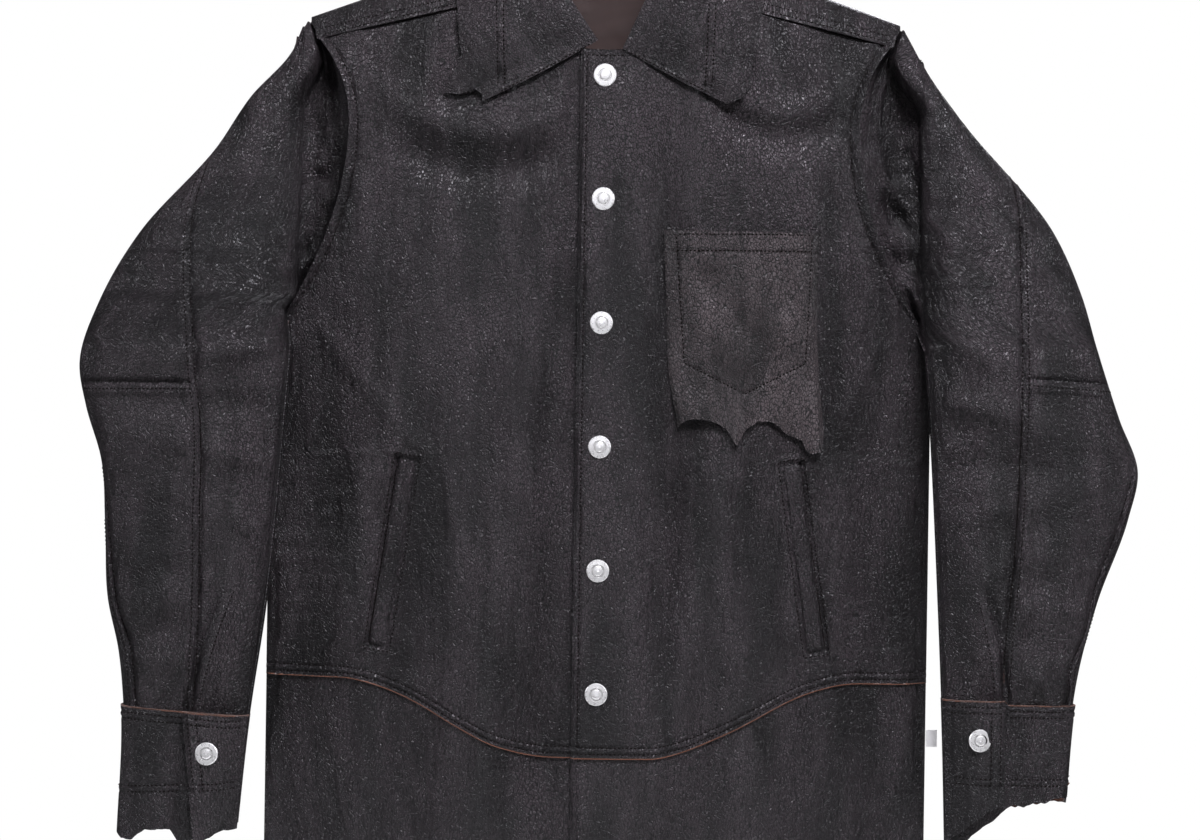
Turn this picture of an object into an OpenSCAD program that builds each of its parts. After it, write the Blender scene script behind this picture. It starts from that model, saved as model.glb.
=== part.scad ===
// Leather work jacket, hanging from its loop, in millimetres.
// The origin is the point of the hanger loop where a hook bears. +Z is up and the front faces -Y.
// "left" and "right" are the wearer's own sides, so the left front is at +X.

/* [Body] */
// Half of the body's width, laid flat, at the chest
chest_half = 278; // [265:1:290]
// Half of the front-to-back depth at the chest as it hangs
chest_depth = 57; // [50:1:62]
// Height of the centre front seam that joins the skirt, below the hook point
skirt_seam_z = -685; // [-690:1:-680]
// Height of the hem, below the hook point
hem_z = -785; // [-800:1:-770]

/* [Neck and shoulders] */
// Half of the neck opening's width at the shoulder
neck_half = 75; // [72:1:78]
// Height of the shoulder ridge at the neck
shoulder_z = -10; // [-12:1:-8]
// Fall of the shoulder for each millimetre outwards
shoulder_fall = 0.36; // [0.34:0.01:0.38]

/* [Front edge] */
// How far each front reaches past the centre line
lap = 20; // [18:1:22]
// Distance between neighbouring snaps
snap_pitch = 101.7; // [100:0.1:103]
// Number of snaps down the front
snap_count = 6; // [5:1:6]
// Radius of a snap's cap
snap_r = 9.3; // [8.5:0.1:10]

/* [Leather] */
// Thickness of the leather
leather = 1.5; // [1.2:0.1:1.8]
// Thickness of the lining cloth
cloth = 0.8; // [0.6:0.1:1]

/* [Hidden] */

LEFT = 1;
RIGHT = -1;
FRONT = -1;
BACK = 1;
gap = 0.6;             // air between neighbouring panels
seam_gap = 2.5;        // air where two panels' edges are cut in different steps
mid_y = -28;           // the body's middle plane
side_power = 1.3;      // how pointed the cross-section is at the side seams
front_neck_z = -102;   // neckline at the centre front
yoke_front_z = -55;    // front yoke seam at the neck
yoke_front_x = 78;     // where the front yoke seam leaves the neckline
yoke_fall = 0.215;     // fall of the front yoke seam for each millimetre outwards
yoke_back_z = -150;    // back yoke seam
seam_rise = 62;        // the skirt seam's rise from the centre to the side
back_seam_z = -632;    // skirt seam across the back
arm_top_z = -75;       // shoulder tip
arm_mid_z = -165;      // where the armhole cuts in furthest
arm_low_z = -318;      // underarm
arm_mid_x = 212;       // the armhole's distance from the centre there
side_angle = 86;       // the side seam's place on the body's cross-section
over = 6.5;            // how far the left front lies outside the right one at the snaps
// An open front swings about this line: [distance from the centre, y from the middle plane, z]
fold_top = [80, -72, -45];
fold_low = [257, -40, -785];
edge_columns = [-lap, 15, 35, 55, 70];  // distances from the centre where a front's edge is creased
facing_x = edge_columns[3];            // inner edge of the facing behind each front edge
first_snap_z = -123;
elbow_z = -424;
cuff_snap = [[314, -663], [317, -683]];  // left cuff, right cuff: distance from the centre, and height
cuff_top = [-633, -648];                 // left cuff, right cuff
cuff_low = -748;
sleeve_end = -656;     // the lower sleeve ends inside the cuff
cuff_edge_x = 334;     // free edge of a cuff's flap
cuff_fold_x = 296;     // where the flap folds back
flap_wall = 2.4;       // a cuff's flap is two layers of hide and a stiffener
leather_brown = [0.16, 0.13, 0.12];
suede_brown = [0.36, 0.2, 0.14];
lining_brown = [0.34, 0.25, 0.23];
steel = [0.82, 0.8, 0.78];

function mix(a, b, t) = a + (b - a) * t;
function clamp(x, a, b) = max(a, min(b, x));
function smooth(a, b, x) = let (t = clamp((x - a) / (b - a), 0, 1)) t * t * (3 - 2 * t);
function steps(n) = [for (i = [0:n]) i / n];

// Body surface: x across, z up, off is the distance outside the leather's base surface
function ridge_z(x) = shoulder_z - shoulder_fall * max(0, abs(x) - neck_half);
function ridge_round(x) = lookup(abs(x), [[0, 25], [60, 35], [120, 80], [250, 90]]);
function half_depth(z) =
  lookup(z, [[hem_z, 46], [-620, 50], [-420, chest_depth - 1], [-250, chest_depth], [-100, 52], [0, 48]]);
function belly(x) = pow(max(0, 1 - pow(x / chest_half, 2)), side_power / 2);
function body_y(x, z, side, off = 0) =
  let (h = clamp((ridge_z(x) + off - z) / (ridge_round(x) + off), 0, 1))
  mid_y + side * (half_depth(z) * belly(x) + off) * sqrt(1 - pow(1 - h, 2));
function body(x, z, side) = [x, body_y(x, z, side), z];
function lining_y(x, z, side) = body_y(x, z, side, -5);
// The shoulder in polar form: turn is 0 on the ridge, -90 or 90 where the round of the shoulder ends in
// front or behind, and past that it counts millimetres down
function shoulder(x, turn) =
  let (r = ridge_round(x), past = max(0, abs(turn) - 90), t = clamp(turn, -90, 90),
       z = ridge_z(x) - r * (1 - cos(t)) - past)
  [x, mid_y + half_depth(z) * belly(x) * sin(t), z];
function turn_at(x, z, side) =
  let (r = ridge_round(x), h = (ridge_z(x) - z) / r) side * (h < 1 ? acos(1 - max(h, 0)) : 90 + (h - 1) * r);

// Outlines in the front view
function skirt_z(x) = skirt_seam_z + seam_rise * smooth(40, 215, abs(x));
function hem_line(x) = hem_z + 32 * smooth(90, 265, abs(x));
function top_z(x) = abs(x) < yoke_front_x
  ? front_neck_z + (yoke_front_z - front_neck_z) * pow(abs(x) / yoke_front_x, 2.5)
  : yoke_front_z - yoke_fall * (abs(x) - yoke_front_x);
function arm_x(z) = z > arm_mid_z
  ? arm_mid_x + 38 * pow(clamp((z - arm_mid_z) / (arm_top_z - arm_mid_z), 0, 1.1), 2)
  : arm_mid_x + 53 * pow(clamp((arm_mid_z - z) / (arm_mid_z - arm_low_z), 0, 1), 2);
function side_x(z) = z > arm_low_z - 17 ? arm_x(z) : chest_half * sin(side_angle);
function fold_x(z) = mix(fold_top[0], fold_low[0], (fold_top[2] - z) / (fold_top[2] - fold_low[2]));

// Sleeve outlines in the front view, as [z, distance from the centre]
function outer_x(s, z) = s > 0
  ? lookup(z, [[-760, 386], [-711, 388], [-604, 399], [-550, 413], [-481, 437], [-442, 444], [-399, 428],
               [-297, 397], [-244, 374], [-158, 304], [-114, 272], [arm_top_z, 250]])
  : lookup(z, [[-760, 392], [-647, 390], [-600, 395], [-572, 405], [-443, 411], [-385, 428], [-366, 430],
               [-315, 416], [-255, 384], [-184, 324], [-138, 295], [-106, 266], [arm_top_z, 250]]);
function inner_x(s, z) = s > 0
  ? lookup(z, [[-746, 292], [-668, 289], [-527, 282], [-417, 275], [arm_low_z, 268]])
  : lookup(z, [[-746, 297], [-655, 288], [-567, 276], [-425, 263], [arm_low_z, 268]]);
function sleeve_b(z) =
  lookup(z, [[-760, 21], [-700, 22], [-640, 25], [-560, 31], [-420, 37], [-250, 36], [-150, 30]]);
function sleeve_y(z) = mid_y + lookup(z, [[-760, -42], [-560, -40], [-330, -38], [-250, -24], [-150, -6]]);
// One point of a sleeve's ring: zi and zo are the ring's heights on the inner and outer outlines,
// and turn goes round it, 0 at the outer edge, -90 in front, 180 at the inner edge
function ring_point(s, zi, zo, turn, off = 0) =
  let (xi = inner_x(s, zi) - off, xo = outer_x(s, zo) + off, c = cos(turn), k = sin(turn), t = (1 + c) / 2,
       z = mix(zi, zo, t), flat = pow(abs(k), 0.75) * sign(k))
  [s * mix(xi, xo, t), sleeve_y(z) + (sleeve_b(z) + off) * flat, z];
swing_z = -160;        // height of the shoulder joint, on the sleeve's outer outline
under_z = arm_low_z - 4;
function upper_ring(s, v, turn, off = 0) =
  ring_point(s, mix(under_z, elbow_z, v), mix(swing_z, elbow_z, v), turn, off);
function armhole_point(s, turn) =
  let (z = (arm_top_z + arm_low_z) / 2 + (arm_top_z - arm_low_z) / 2 * cos(turn),
       x = arm_x(z) + 1.5 * seam_gap)
  [s * x, body_y(x, z, sin(turn) < 0 ? FRONT : BACK), z];

// A curved sheet of leather or cloth: p is a grid of points on its outer face, the wall goes inwards.
// turned is -1 where the grid's rows and columns run the other way round.
function grid_normal(p, i, j, ring) =
  let (m = len(p), n = len(p[0]),
       a = p[min(i + 1, m - 1)][j] - p[max(i - 1, 0)][j],
       b = p[i][ring ? (j + 1) % n : min(j + 1, n - 1)] - p[i][ring ? (j + n - 1) % n : max(j - 1, 0)],
       c = cross(a, b)) c / norm(c);
function flip(f) = [for (i = [len(f) - 1:-1:0]) f[i]];
module sheet(p, wall, turned = 1, ring = false) {
  m = len(p);
  n = len(p[0]);
  k = m * n;
  last = ring ? n - 1 : n - 2;
  outer = [for (i = [0:m - 1]) for (j = [0:n - 1]) p[i][j]];
  inner = [for (i = [0:m - 1]) for (j = [0:n - 1]) p[i][j] - turned * wall * grid_normal(p, i, j, ring)];
  cells = [for (i = [0:m - 2]) for (j = [0:last])
             let (a = i * n + j, b = i * n + (j + 1) % n) [a, b, b + n, a + n]];
  ends = [for (j = [0:last]) let (a = j, b = (j + 1) % n) [a, a + k, b + k, b]];
  tails = [for (j = [0:last]) let (a = (m - 1) * n + j, b = (m - 1) * n + (j + 1) % n) [a, b, b + k, a + k]];
  sides = ring ? [] : [for (i = [0:m - 2]) let (a = i * n, b = a + n - 1)
                         each [[a, a + n, a + n + k, a + k], [b, b + k, b + n + k, b + n]]];
  quads = concat(cells, [for (f = cells) [for (q = flip(f)) q + k]], ends, tails, sides);
  faces = [for (f = quads) each [[f[0], f[1], f[2]], [f[0], f[2], f[3]]]];
  polyhedron(concat(outer, inner), turned > 0 ? faces : [for (f = faces) flip(f)]);
}

// Part of a front, from column x0 to x1 (given as functions of height), between the skirt seam and the top
function lift(s, x) = s > 0 ? over * (1 - smooth(25, 65, x)) : 0;
function front_row(v) = mix(-650, -58, v);
function front_point(s, x, v, off) =
  let (z = mix(skirt_z(x) + gap, top_z(x) - gap, v)) [s * x, body_y(x, z, FRONT, off + lift(s, x)), z];
function skirt_point(s, x, v) =
  let (z = mix(hem_line(x), skirt_z(x) - seam_gap, v)) [s * x, body_y(x, z, FRONT, lift(s, x)), z];
function skirt_fold(v) = fold_x(mix(-760, -660, v));
function fold_edge(v) = fold_x(front_row(v));
function side_edge(v) = side_x(mix(-624, -88, v));

function edge_xs(fold) = concat(edge_columns, [for (u = [0.5, 1]) mix(edge_columns[4], fold - gap, u)]);
module front_edge(s, rows = 12)
  sheet([for (v = steps(rows)) [for (x = edge_xs(fold_edge(v))) front_point(s, x, v, 0)]], leather, -s);
module front_facing(s, rows = 12)
  sheet([for (v = steps(rows)) [for (i = [0:3])
          front_point(s, edge_columns[i] + (i == 0 ? 1 : 0), mix(0.01, 0.96, v), -2)]], 1, -s);
module front_lining(s, cols = 3, rows = 9)
  sheet([for (v = steps(rows)) [for (u = steps(cols))
          let (z = mix(-655, -160, v), x = mix(facing_x + 3, fold_x(z) - 3, u))
          [s * x, lining_y(x, z, FRONT), z]]],
        cloth, -s);
module front_side(s, cols = 6, rows = 12)
  sheet([for (v = steps(rows)) [for (u = steps(cols))
          let (a = asin((fold_edge(v) + gap) / chest_half), b = asin(side_edge(v) / chest_half))
          front_point(s, chest_half * sin(mix(a, b, u)), v, 0)]], leather, -s);
module skirt_edge(s, rows = 4)
  sheet([for (v = steps(rows)) [for (x = edge_xs(skirt_fold(v))) skirt_point(s, x, v)]], leather, -s);
module skirt_side(s, cols = 5, rows = 4)
  sheet([for (v = steps(rows)) [for (u = steps(cols))
          let (a = asin((skirt_fold(v) + gap) / chest_half))
          skirt_point(s, chest_half * sin(mix(a, side_angle, u)), v)]], leather, -s);

// Back of the body between two heights, out to the armholes and side seams
module back_sheet(z0, z1, cols, rows)
  sheet([for (v = steps(rows)) [for (u = steps(cols))
          let (z = mix(z0, z1, v), a = asin(side_x(z) / chest_half))
          body(chest_half * sin(mix(-a, a, u)), z, BACK)]],
        leather, 1);

module back_panel() color(leather_brown) back_sheet(back_seam_z, yoke_back_z - gap, 16, 11);
module back_skirt() color(leather_brown)
  sheet([for (v = steps(4)) [for (u = steps(16))
          let (x = chest_half * sin(mix(-side_angle, side_angle, u)))
          body(x, mix(hem_line(x), back_seam_z - gap, v), BACK)]],
        leather, 1);

// The lining behind the back and round the sides to the fronts' fold lines
function lining_x(z) = min(side_x(z) - 9, 248);
module back_lining() color(lining_brown) {
  sheet([for (v = steps(9)) [for (u = steps(12))
          let (z = mix(back_seam_z - 40, yoke_back_z + 40, v), a = asin(lining_x(z) / chest_half))
          let (x = chest_half * sin(mix(-a, a, u))) [x, lining_y(x, z, BACK), z]]], cloth, 1);
  for (s = [LEFT, RIGHT])
    sheet([for (v = steps(8)) [for (u = steps(5))
            let (z = mix(skirt_seam_z + 22, -120, v), a = asin((fold_x(z) + 3) / chest_half),
                 b = asin(lining_x(z) / chest_half), x = chest_half * sin(mix(a, b, u)))
            [s * x, lining_y(x, z, FRONT), z]]], cloth, -s);
}

// The yoke runs over both shoulders and across the back. Its rows start at the neck and end on the rim:
// the front corner, the shoulder tip, down the back of the armhole, and along the back seam.
yoke_neck = [[80, -84], [78, -40], [76, 4], [70, 32], [56, 52], [28, 60], [0, 60]];
yoke_rim = [[-88, FRONT], [-79, FRONT], [-79, BACK], [-100, BACK], [yoke_back_z, BACK]];
function rim_x(i) = i < 5 ? arm_x(yoke_rim[i][0]) - gap : [107, 0][i - 5];
function rim_turn(i) =
  i < 5 ? turn_at(rim_x(i), yoke_rim[i][0], yoke_rim[i][1]) : turn_at(rim_x(i), yoke_back_z, BACK);
function yoke_point(s, i, v) =
  let (x = mix(yoke_neck[i][0], rim_x(i), v),
       turn = i == 0 ? turn_at(x, top_z(x) + gap, FRONT) : mix(yoke_neck[i][1], rim_turn(i), v))
  shoulder(s * x, turn);
module shoulder_yoke() color(leather_brown) {
  n = len(yoke_neck) - 1;
  sheet([for (v = steps(6)) [for (k = [-n:n]) yoke_point(k < 0 ? RIGHT : LEFT, n - abs(k), v)]], leather, -1);
}

// Collar: roll is the folded top line and edge the free edge, from the centre front to the centre back
roll = [[12, -66, -94], [30, -64, -61], [48, -50, -28], [62, -22, 0], [58, 12, 16], [32, 38, 21], [0, 44, 22]];
edge = [[113, -60, -141], [123, -56, -100], [128, -46, -62], [133, -8, -22], [112, 38, -38], [62, 60, -48],
        [0, 64, -50]];
function collar_point(s, i, v) =
  let (p = mix(roll[i], edge[i], v), bow = sin(180 * v) * (i < 3 ? 3 : 9))
  [s * p[0], mid_y + p[1] - (i < 3 ? bow : 0), p[2] + (i < 3 ? 0 : bow)];
// Each collar leaf is cut along the front's fold line: its point goes with the front, and the rest stays on
// the body. v is how far the cut lies from the rolled edge.
cut_gap = 0.015;
function cut_v(i) = (fold_x(mix(roll[i][2], edge[i][2], 0.4)) - roll[i][0]) / (edge[i][0] - roll[i][0]);
module collar_strip(s, v0, v1)
  sheet([for (i = [0:2]) [for (u = steps(3)) collar_point(s, i, mix(v0(i), v1(i), u))]], leather, -s);
module collar_leaf_point(s) color(leather_brown)
  collar_strip(s, function (i) 0, function (i) cut_v(i) - cut_gap);
module collar_fall() color(leather_brown) {
  for (s = [LEFT, RIGHT]) collar_strip(s, function (i) cut_v(i) + cut_gap, function (i) 1);
  sheet([for (k = [-3:3]) let (s = k < 0 ? RIGHT : LEFT, i = 6 - abs(k))
          [for (v = steps(4)) collar_point(s, i, v)]], leather, 1);
}
module collar_stand() color(leather_brown)
  sheet([for (k = [-3:3]) let (s = k < 0 ? RIGHT : LEFT, a = roll[6 - abs(k)])
         [for (v = steps(2))
           [s * (a[0] + mix(4, -4, v)), mid_y + a[1] * 0.9 + mix(-4, -7, v), mix(-14, a[2] - 5, v)]]],
        leather, -1);

// Loop of leather lace that the jacket hangs by: the hook bears at the origin
module hanger_loop() color(suede_brown)
  translate([0, 2.5, 0]) rotate([90, 0, 0]) linear_extrude(6)
    polygon(concat([for (a = [0:15:180]) [6.5 * cos(a), 6.5 * sin(a) - 5]], [[-26, -24], [-23.5, -25.5]],
                   [for (a = [180:-15:0]) [5 * cos(a), 5 * sin(a) - 5]], [[23.5, -25.5], [26, -24]]));

// A small blank tab in the left side seam
module side_tab() color("white") translate([chest_half - 0.5, mid_y - 6, -676]) cube([9, 1.2, 14]);

// Slanted hand pockets: a welt on the front and a flat bag behind it
welt_x = 171;          // middle of a welt
welt_z = -518;
welt_lean = 0.149;     // how far a welt leans in for each millimetre up
welt_half = [8, 77];   // half of its width and height
patch_off = 2.6;       // how far the outer face of a welt or pocket stands off the front
patch_wall = 2;
function welt_point(s, a, b) =
  let (x = welt_x + a - b * welt_lean, z = welt_z + b) [s * x, body_y(x, z, FRONT, patch_off), z];
module welt(s) color(leather_brown)
  sheet([for (v = steps(6)) [for (u = steps(2))
          welt_point(s, mix(-1, 1, u) * welt_half[0], mix(-1, 1, v) * welt_half[1])]], patch_wall, -s);
module pocket_bag(s) color(lining_brown)
  sheet([for (v = steps(5)) [for (u = steps(3))
          let (x = mix(facing_x + 5, 158, u), z = mix(-668, -448, v))
          [s * x, body_y(x, z, FRONT, -3.2), z]]], 1.2, -s);

// Chest pocket: one patch of raw-edged hide, cut along the fold line as the front is
pocket_in = 50;
pocket_out = 180;
pocket_z = [-428, -250];
function pocket_lift(x, v) = 10 * v * sin(180 * (x - pocket_in) / (pocket_out - pocket_in));
module pocket_patch(x0, x1)
  sheet([for (v = steps(7)) [for (u = steps(4))
          let (z = mix(pocket_z[0], pocket_z[1], v), x = mix(x0(z), x1(z), u))
          [x, body_y(x, z, FRONT, patch_off + lift(LEFT, x) + pocket_lift(x, v)), z]]], patch_wall, -1);
module chest_pocket() color(leather_brown)
  pocket_patch(function (z) pocket_in, function (z) fold_x(z) - gap);
module chest_pocket_side() color(leather_brown)
  pocket_patch(function (z) fold_x(z) + gap, function (z) pocket_out);

// Press studs: each is turned about Z and then laid to face -Y
function snap_z(i) = first_snap_z - i * snap_pitch;
module facing_front(p) translate(p) rotate([90, 0, 0]) children();
module snap_cap() color(steel) rotate_extrude($fn = 72)
  polygon([[0, 0], [snap_r, 0], [snap_r, 0.7], [snap_r - 0.7, 1.4], [5.7, 1.6], [5.2, 0.9], [4.5, 0.9],
           [4.1, 1.6], [3.3, 1.9], [0, 2.2]]);
module snap_socket() color(steel) rotate_extrude($fn = 48)
  polygon([[2.7, 0], [5.2, 0], [5.2, 1.7], [4.6, 2], [2.7, 2]]);
module snap_stud() color(steel) rotate_extrude($fn = 48)
  polygon([[0, 0], [4.8, 0], [4.8, 0.3], [2, 0.3], [2, 1.2], [2.3, 1.5], [2.3, 2], [1.8, 2.5], [0, 2.5]]);
module snap_post() color(steel) rotate_extrude($fn = 48)
  polygon([[0, 0], [5, 0], [5, 0.4], [4.6, 0.7], [0, 0.7]]);
function front_y(z) = body_y(0, z, FRONT, 0);
module down_the_front()
  for (i = [0:snap_count - 1]) facing_front([0, front_y(snap_z(i)), snap_z(i)]) children();
module front_snap_caps() down_the_front() translate([0, 0, over + 0.5]) snap_cap();
module front_snap_sockets() down_the_front() translate([0, 0, 0.9]) snap_socket();
module front_snap_studs() down_the_front() translate([0, 0, 0.3]) snap_stud();
module front_snap_posts() down_the_front() translate([0, 0, -4.3]) snap_post();

// Sleeves
module sleeve_head(s) color(leather_brown)
  sheet([for (v = steps(4)) [for (turn = [0:15:345])
          mix(armhole_point(s, turn), upper_ring(s, 0, turn), v * 0.96)]], leather, s, true);
module upper_sleeve(s, turns) color(leather_brown)
  sheet([for (v = steps(6)) [for (u = steps(6)) upper_ring(s, mix(0.06, 1, v), mix(turns[0], turns[1], u))]],
        leather, s);
function lower_ring(s, v, turn, off = 0) =
  let (z = mix(elbow_z - 2, sleeve_end, v)) ring_point(s, z, z, turn, off);
module lower_sleeve(s, turns) color(leather_brown)
  sheet([for (v = steps(7)) [for (u = steps(6)) lower_ring(s, v, mix(turns[0], turns[1], u))]], leather, s);
// Where each sleeve panel starts and ends around the sleeve
front_turns = [-228, -91];
outer_turns = [-89.5, -1];
back_turns = [0, 131];
module upper_lining(s) color(lining_brown)
  sheet([for (v = steps(5)) [for (turn = [0:18:342]) upper_ring(s, mix(0.08, 0.97, v), turn, -7)]],
        cloth, s, true);
module lower_lining(s) color(lining_brown)
  sheet([for (v = steps(5)) [for (turn = [0:18:342]) lower_ring(s, mix(0.03, 0.9, v), turn, -6)]],
        cloth, s, true);

// Cuffs: a band with a raw edge below it, and a flap that folds back from the snap
function cuff_index(s) = s > 0 ? 0 : 1;
cuff_off = 2.6;        // how far a cuff's band stands off the sleeve's outline
band_turns = [-134, 206];  // the band is open behind the flap
module cuff(s) color(leather_brown)
  sheet([for (z = [cuff_low, -722, -694, -668, cuff_top[cuff_index(s)]])
          [for (u = steps(22)) ring_point(s, z, z, mix(band_turns[0], band_turns[1], u), cuff_off)]],
        leather, -s);
// The front of the wrist, from which the flap's parts are set out
wrist_z = -690;
wrist_y = sleeve_y(wrist_z) - sleeve_b(wrist_z);
flap_out = 8.7;        // the flap's outer face
module cuff_flap(s) color(leather_brown)
  translate([s > 0 ? cuff_fold_x + 1 : -cuff_edge_x, wrist_y - flap_out, cuff_low])
    cube([cuff_edge_x - cuff_fold_x - 1, flap_wall, cuff_top[cuff_index(s)] - 1 - cuff_low]);
module at_cuff_snap(s, out) {
  p = cuff_snap[cuff_index(s)];
  facing_front([s * p[0], wrist_y, p[1]]) translate([0, 0, out]) children();
}
module cuff_cap(s) {
  at_cuff_snap(s, flap_out + 0.2) snap_cap();
  at_cuff_snap(s, 3.7) snap_socket();
}
module cuff_stud(s) at_cuff_snap(s, 2.8) snap_stud();

back_panel();
back_skirt();
shoulder_yoke();
back_lining();
collar_stand();
collar_fall();
hanger_loop();
side_tab();
color(leather_brown) front_side(LEFT);  // left_front_side
color(leather_brown) skirt_side(LEFT);  // left_skirt_side
sleeve_head(LEFT);  // left_sleeve_head
color(leather_brown) front_side(RIGHT);  // right_front_side
color(leather_brown) skirt_side(RIGHT);  // right_skirt_side
sleeve_head(RIGHT);  // right_sleeve_head
chest_pocket_side();
color(leather_brown) front_edge(LEFT);  // left_front_edge
color(leather_brown) front_facing(LEFT);  // left_front_facing
color(lining_brown) front_lining(LEFT);  // left_front_lining
color(leather_brown) skirt_edge(LEFT);  // left_skirt_edge
collar_leaf_point(LEFT);  // left_collar_point
welt(LEFT);  // left_welt
pocket_bag(LEFT);  // left_pocket_bag
chest_pocket();
front_snap_caps();
front_snap_sockets();
color(leather_brown) front_edge(RIGHT);  // right_front_edge
color(leather_brown) front_facing(RIGHT);  // right_front_facing
color(lining_brown) front_lining(RIGHT);  // right_front_lining
color(leather_brown) skirt_edge(RIGHT);  // right_skirt_edge
collar_leaf_point(RIGHT);  // right_collar_point
welt(RIGHT);  // right_welt
pocket_bag(RIGHT);  // right_pocket_bag
front_snap_studs();
front_snap_posts();
upper_sleeve(LEFT, front_turns);  // left_upper_sleeve_front
upper_sleeve(LEFT, outer_turns);  // left_upper_sleeve_outer
upper_sleeve(LEFT, back_turns);  // left_upper_sleeve_back
upper_lining(LEFT);  // left_upper_lining
lower_sleeve(LEFT, front_turns);  // left_lower_sleeve_front
lower_sleeve(LEFT, outer_turns);  // left_lower_sleeve_outer
lower_sleeve(LEFT, back_turns);  // left_lower_sleeve_back
lower_lining(LEFT);  // left_lower_lining
cuff(LEFT);  // left_cuff
cuff_stud(LEFT);  // left_cuff_stud
cuff_flap(LEFT);  // left_cuff_flap
cuff_cap(LEFT);  // left_cuff_cap
upper_sleeve(RIGHT, front_turns);  // right_upper_sleeve_front
upper_sleeve(RIGHT, outer_turns);  // right_upper_sleeve_outer
upper_sleeve(RIGHT, back_turns);  // right_upper_sleeve_back
upper_lining(RIGHT);  // right_upper_lining
lower_sleeve(RIGHT, front_turns);  // right_lower_sleeve_front
lower_sleeve(RIGHT, outer_turns);  // right_lower_sleeve_outer
lower_sleeve(RIGHT, back_turns);  // right_lower_sleeve_back
lower_lining(RIGHT);  // right_lower_lining
cuff(RIGHT);  // right_cuff
cuff_stud(RIGHT);  // right_cuff_stud
cuff_flap(RIGHT);  // right_cuff_flap
cuff_cap(RIGHT);  // right_cuff_cap
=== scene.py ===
"""A leather work jacket hanging from its loop. Inside this script lengths are millimetres until a mesh is made."""

import math

import bpy
import numpy as np
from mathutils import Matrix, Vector
from mathutils.bvhtree import BVHTree


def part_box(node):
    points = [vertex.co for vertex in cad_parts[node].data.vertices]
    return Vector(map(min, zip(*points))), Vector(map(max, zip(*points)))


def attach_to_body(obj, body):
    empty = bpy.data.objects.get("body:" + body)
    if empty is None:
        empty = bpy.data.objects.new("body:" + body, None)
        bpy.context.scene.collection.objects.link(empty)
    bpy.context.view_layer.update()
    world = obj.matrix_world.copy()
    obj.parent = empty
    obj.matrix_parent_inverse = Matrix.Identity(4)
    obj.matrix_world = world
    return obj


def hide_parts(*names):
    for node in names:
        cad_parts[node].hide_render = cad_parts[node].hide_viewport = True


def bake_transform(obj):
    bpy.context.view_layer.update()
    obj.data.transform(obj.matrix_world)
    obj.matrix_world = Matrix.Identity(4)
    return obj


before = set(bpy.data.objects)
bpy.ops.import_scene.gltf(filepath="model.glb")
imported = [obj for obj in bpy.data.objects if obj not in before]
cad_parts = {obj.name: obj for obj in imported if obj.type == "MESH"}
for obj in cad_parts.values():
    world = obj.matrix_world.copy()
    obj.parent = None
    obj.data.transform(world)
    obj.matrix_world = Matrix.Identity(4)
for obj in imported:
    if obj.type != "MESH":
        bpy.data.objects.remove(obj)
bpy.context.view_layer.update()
MM = 0.001
LEFT, RIGHT = 1, -1      # the wearer's sides, at +X and -X
FRONT, BACK = -1, 1
SIDES = {LEFT: "left", RIGHT: "right"}


def corners(node):
    """A CAD node's box at rest, in millimetres."""
    low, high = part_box(node)
    return np.array(low) / MM, np.array(high) / MM


# ---------------------------------------------------------------- sizes, from the CAD nodes where they name one
SIDE_ANGLE = math.radians(86)
HALF = corners("back_panel")[1][0] / math.sin(SIDE_ANGLE)
HEM = corners("left_skirt_edge")[0][2]
CUFF_TOP = {s: corners(name + "_cuff")[1][2] for s, name in SIDES.items()}
MID = -28                # the body's middle plane
LAP = 20                 # how far each front reaches past the centre line
LIFT = 6.9               # how far the left front lies outside the right one at the snaps
LEATHER = 1.5            # thickness of the hide
LINING = 0.6             # thickness of the lining
ARM_LOW = -318           # the bottom of the armhole
YOKE_SEAM = -151         # the seam across the back under the yoke
BACK_SEAM = -632         # the seam across the back above the skirt
WELT_X, WELT_Z = 171, -518           # the middle of each slanted hand pocket
WELT_TILT = math.radians(8.5)
STITCH_PITCH, STITCH_LENGTH, STITCH_RADIUS, STITCH_SINK = 3.4, 2.1, 0.55, 0.05
# each ring of a stitch: how far along it, its width, and its height
THREAD_RINGS = [(0.0, 0.35, -0.3), (0.22, 1.0, 0.1), (0.78, 1.0, 0.1), (1.0, 0.35, -0.3)]
THREAD_SIDES = 6


# ---------------------------------------------------------------- small maths
def mix(a, b, t):
    return a + (b - a) * t


def smooth(a, b, x):
    t = np.clip((np.asarray(x, float) - a) / (b - a), 0, 1)
    return t * t * (3 - 2 * t)


def bell(x, width):
    return np.exp(-(np.asarray(x, float) / width) ** 2)


def curve(x, points):
    """A smooth curve through (x, y) points, flat beyond the ends."""
    px, py = np.array(sorted(points), float).T
    slope = np.gradient(py, px)
    x = np.clip(x, px[0], px[-1])
    i = np.clip(np.searchsorted(px, x) - 1, 0, len(px) - 2)
    h = px[i + 1] - px[i]
    t = (x - px[i]) / h
    return ((1 + 2 * t) * (1 - t) ** 2 * py[i] + t * (1 - t) ** 2 * h * slope[i]
            + t * t * (3 - 2 * t) * py[i + 1] + t * t * (t - 1) * h * slope[i + 1])


def lengths(p):
    """The distance along a line of points, up to each of them."""
    return np.r_[0, np.cumsum(np.linalg.norm(np.diff(p, axis=0), axis=1))]


def path(points, count):
    """A smooth curve through 2-D or 3-D points, cut into even steps."""
    p = np.array(points, float)
    s = lengths(p)
    t = np.linspace(0, s[-1], count)
    return np.stack([curve(t, list(zip(s, p[:, k]))) for k in range(p.shape[1])], 1)


def resample(p, count):
    """A line of straight pieces, cut again into even steps."""
    steps = np.linalg.norm(np.diff(p, axis=0), axis=1)
    along = np.r_[0, np.cumsum(steps)] / steps.sum()
    return np.stack([np.interp(np.linspace(0, 1, count), along, p[:, k]) for k in range(3)], 1)


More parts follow.
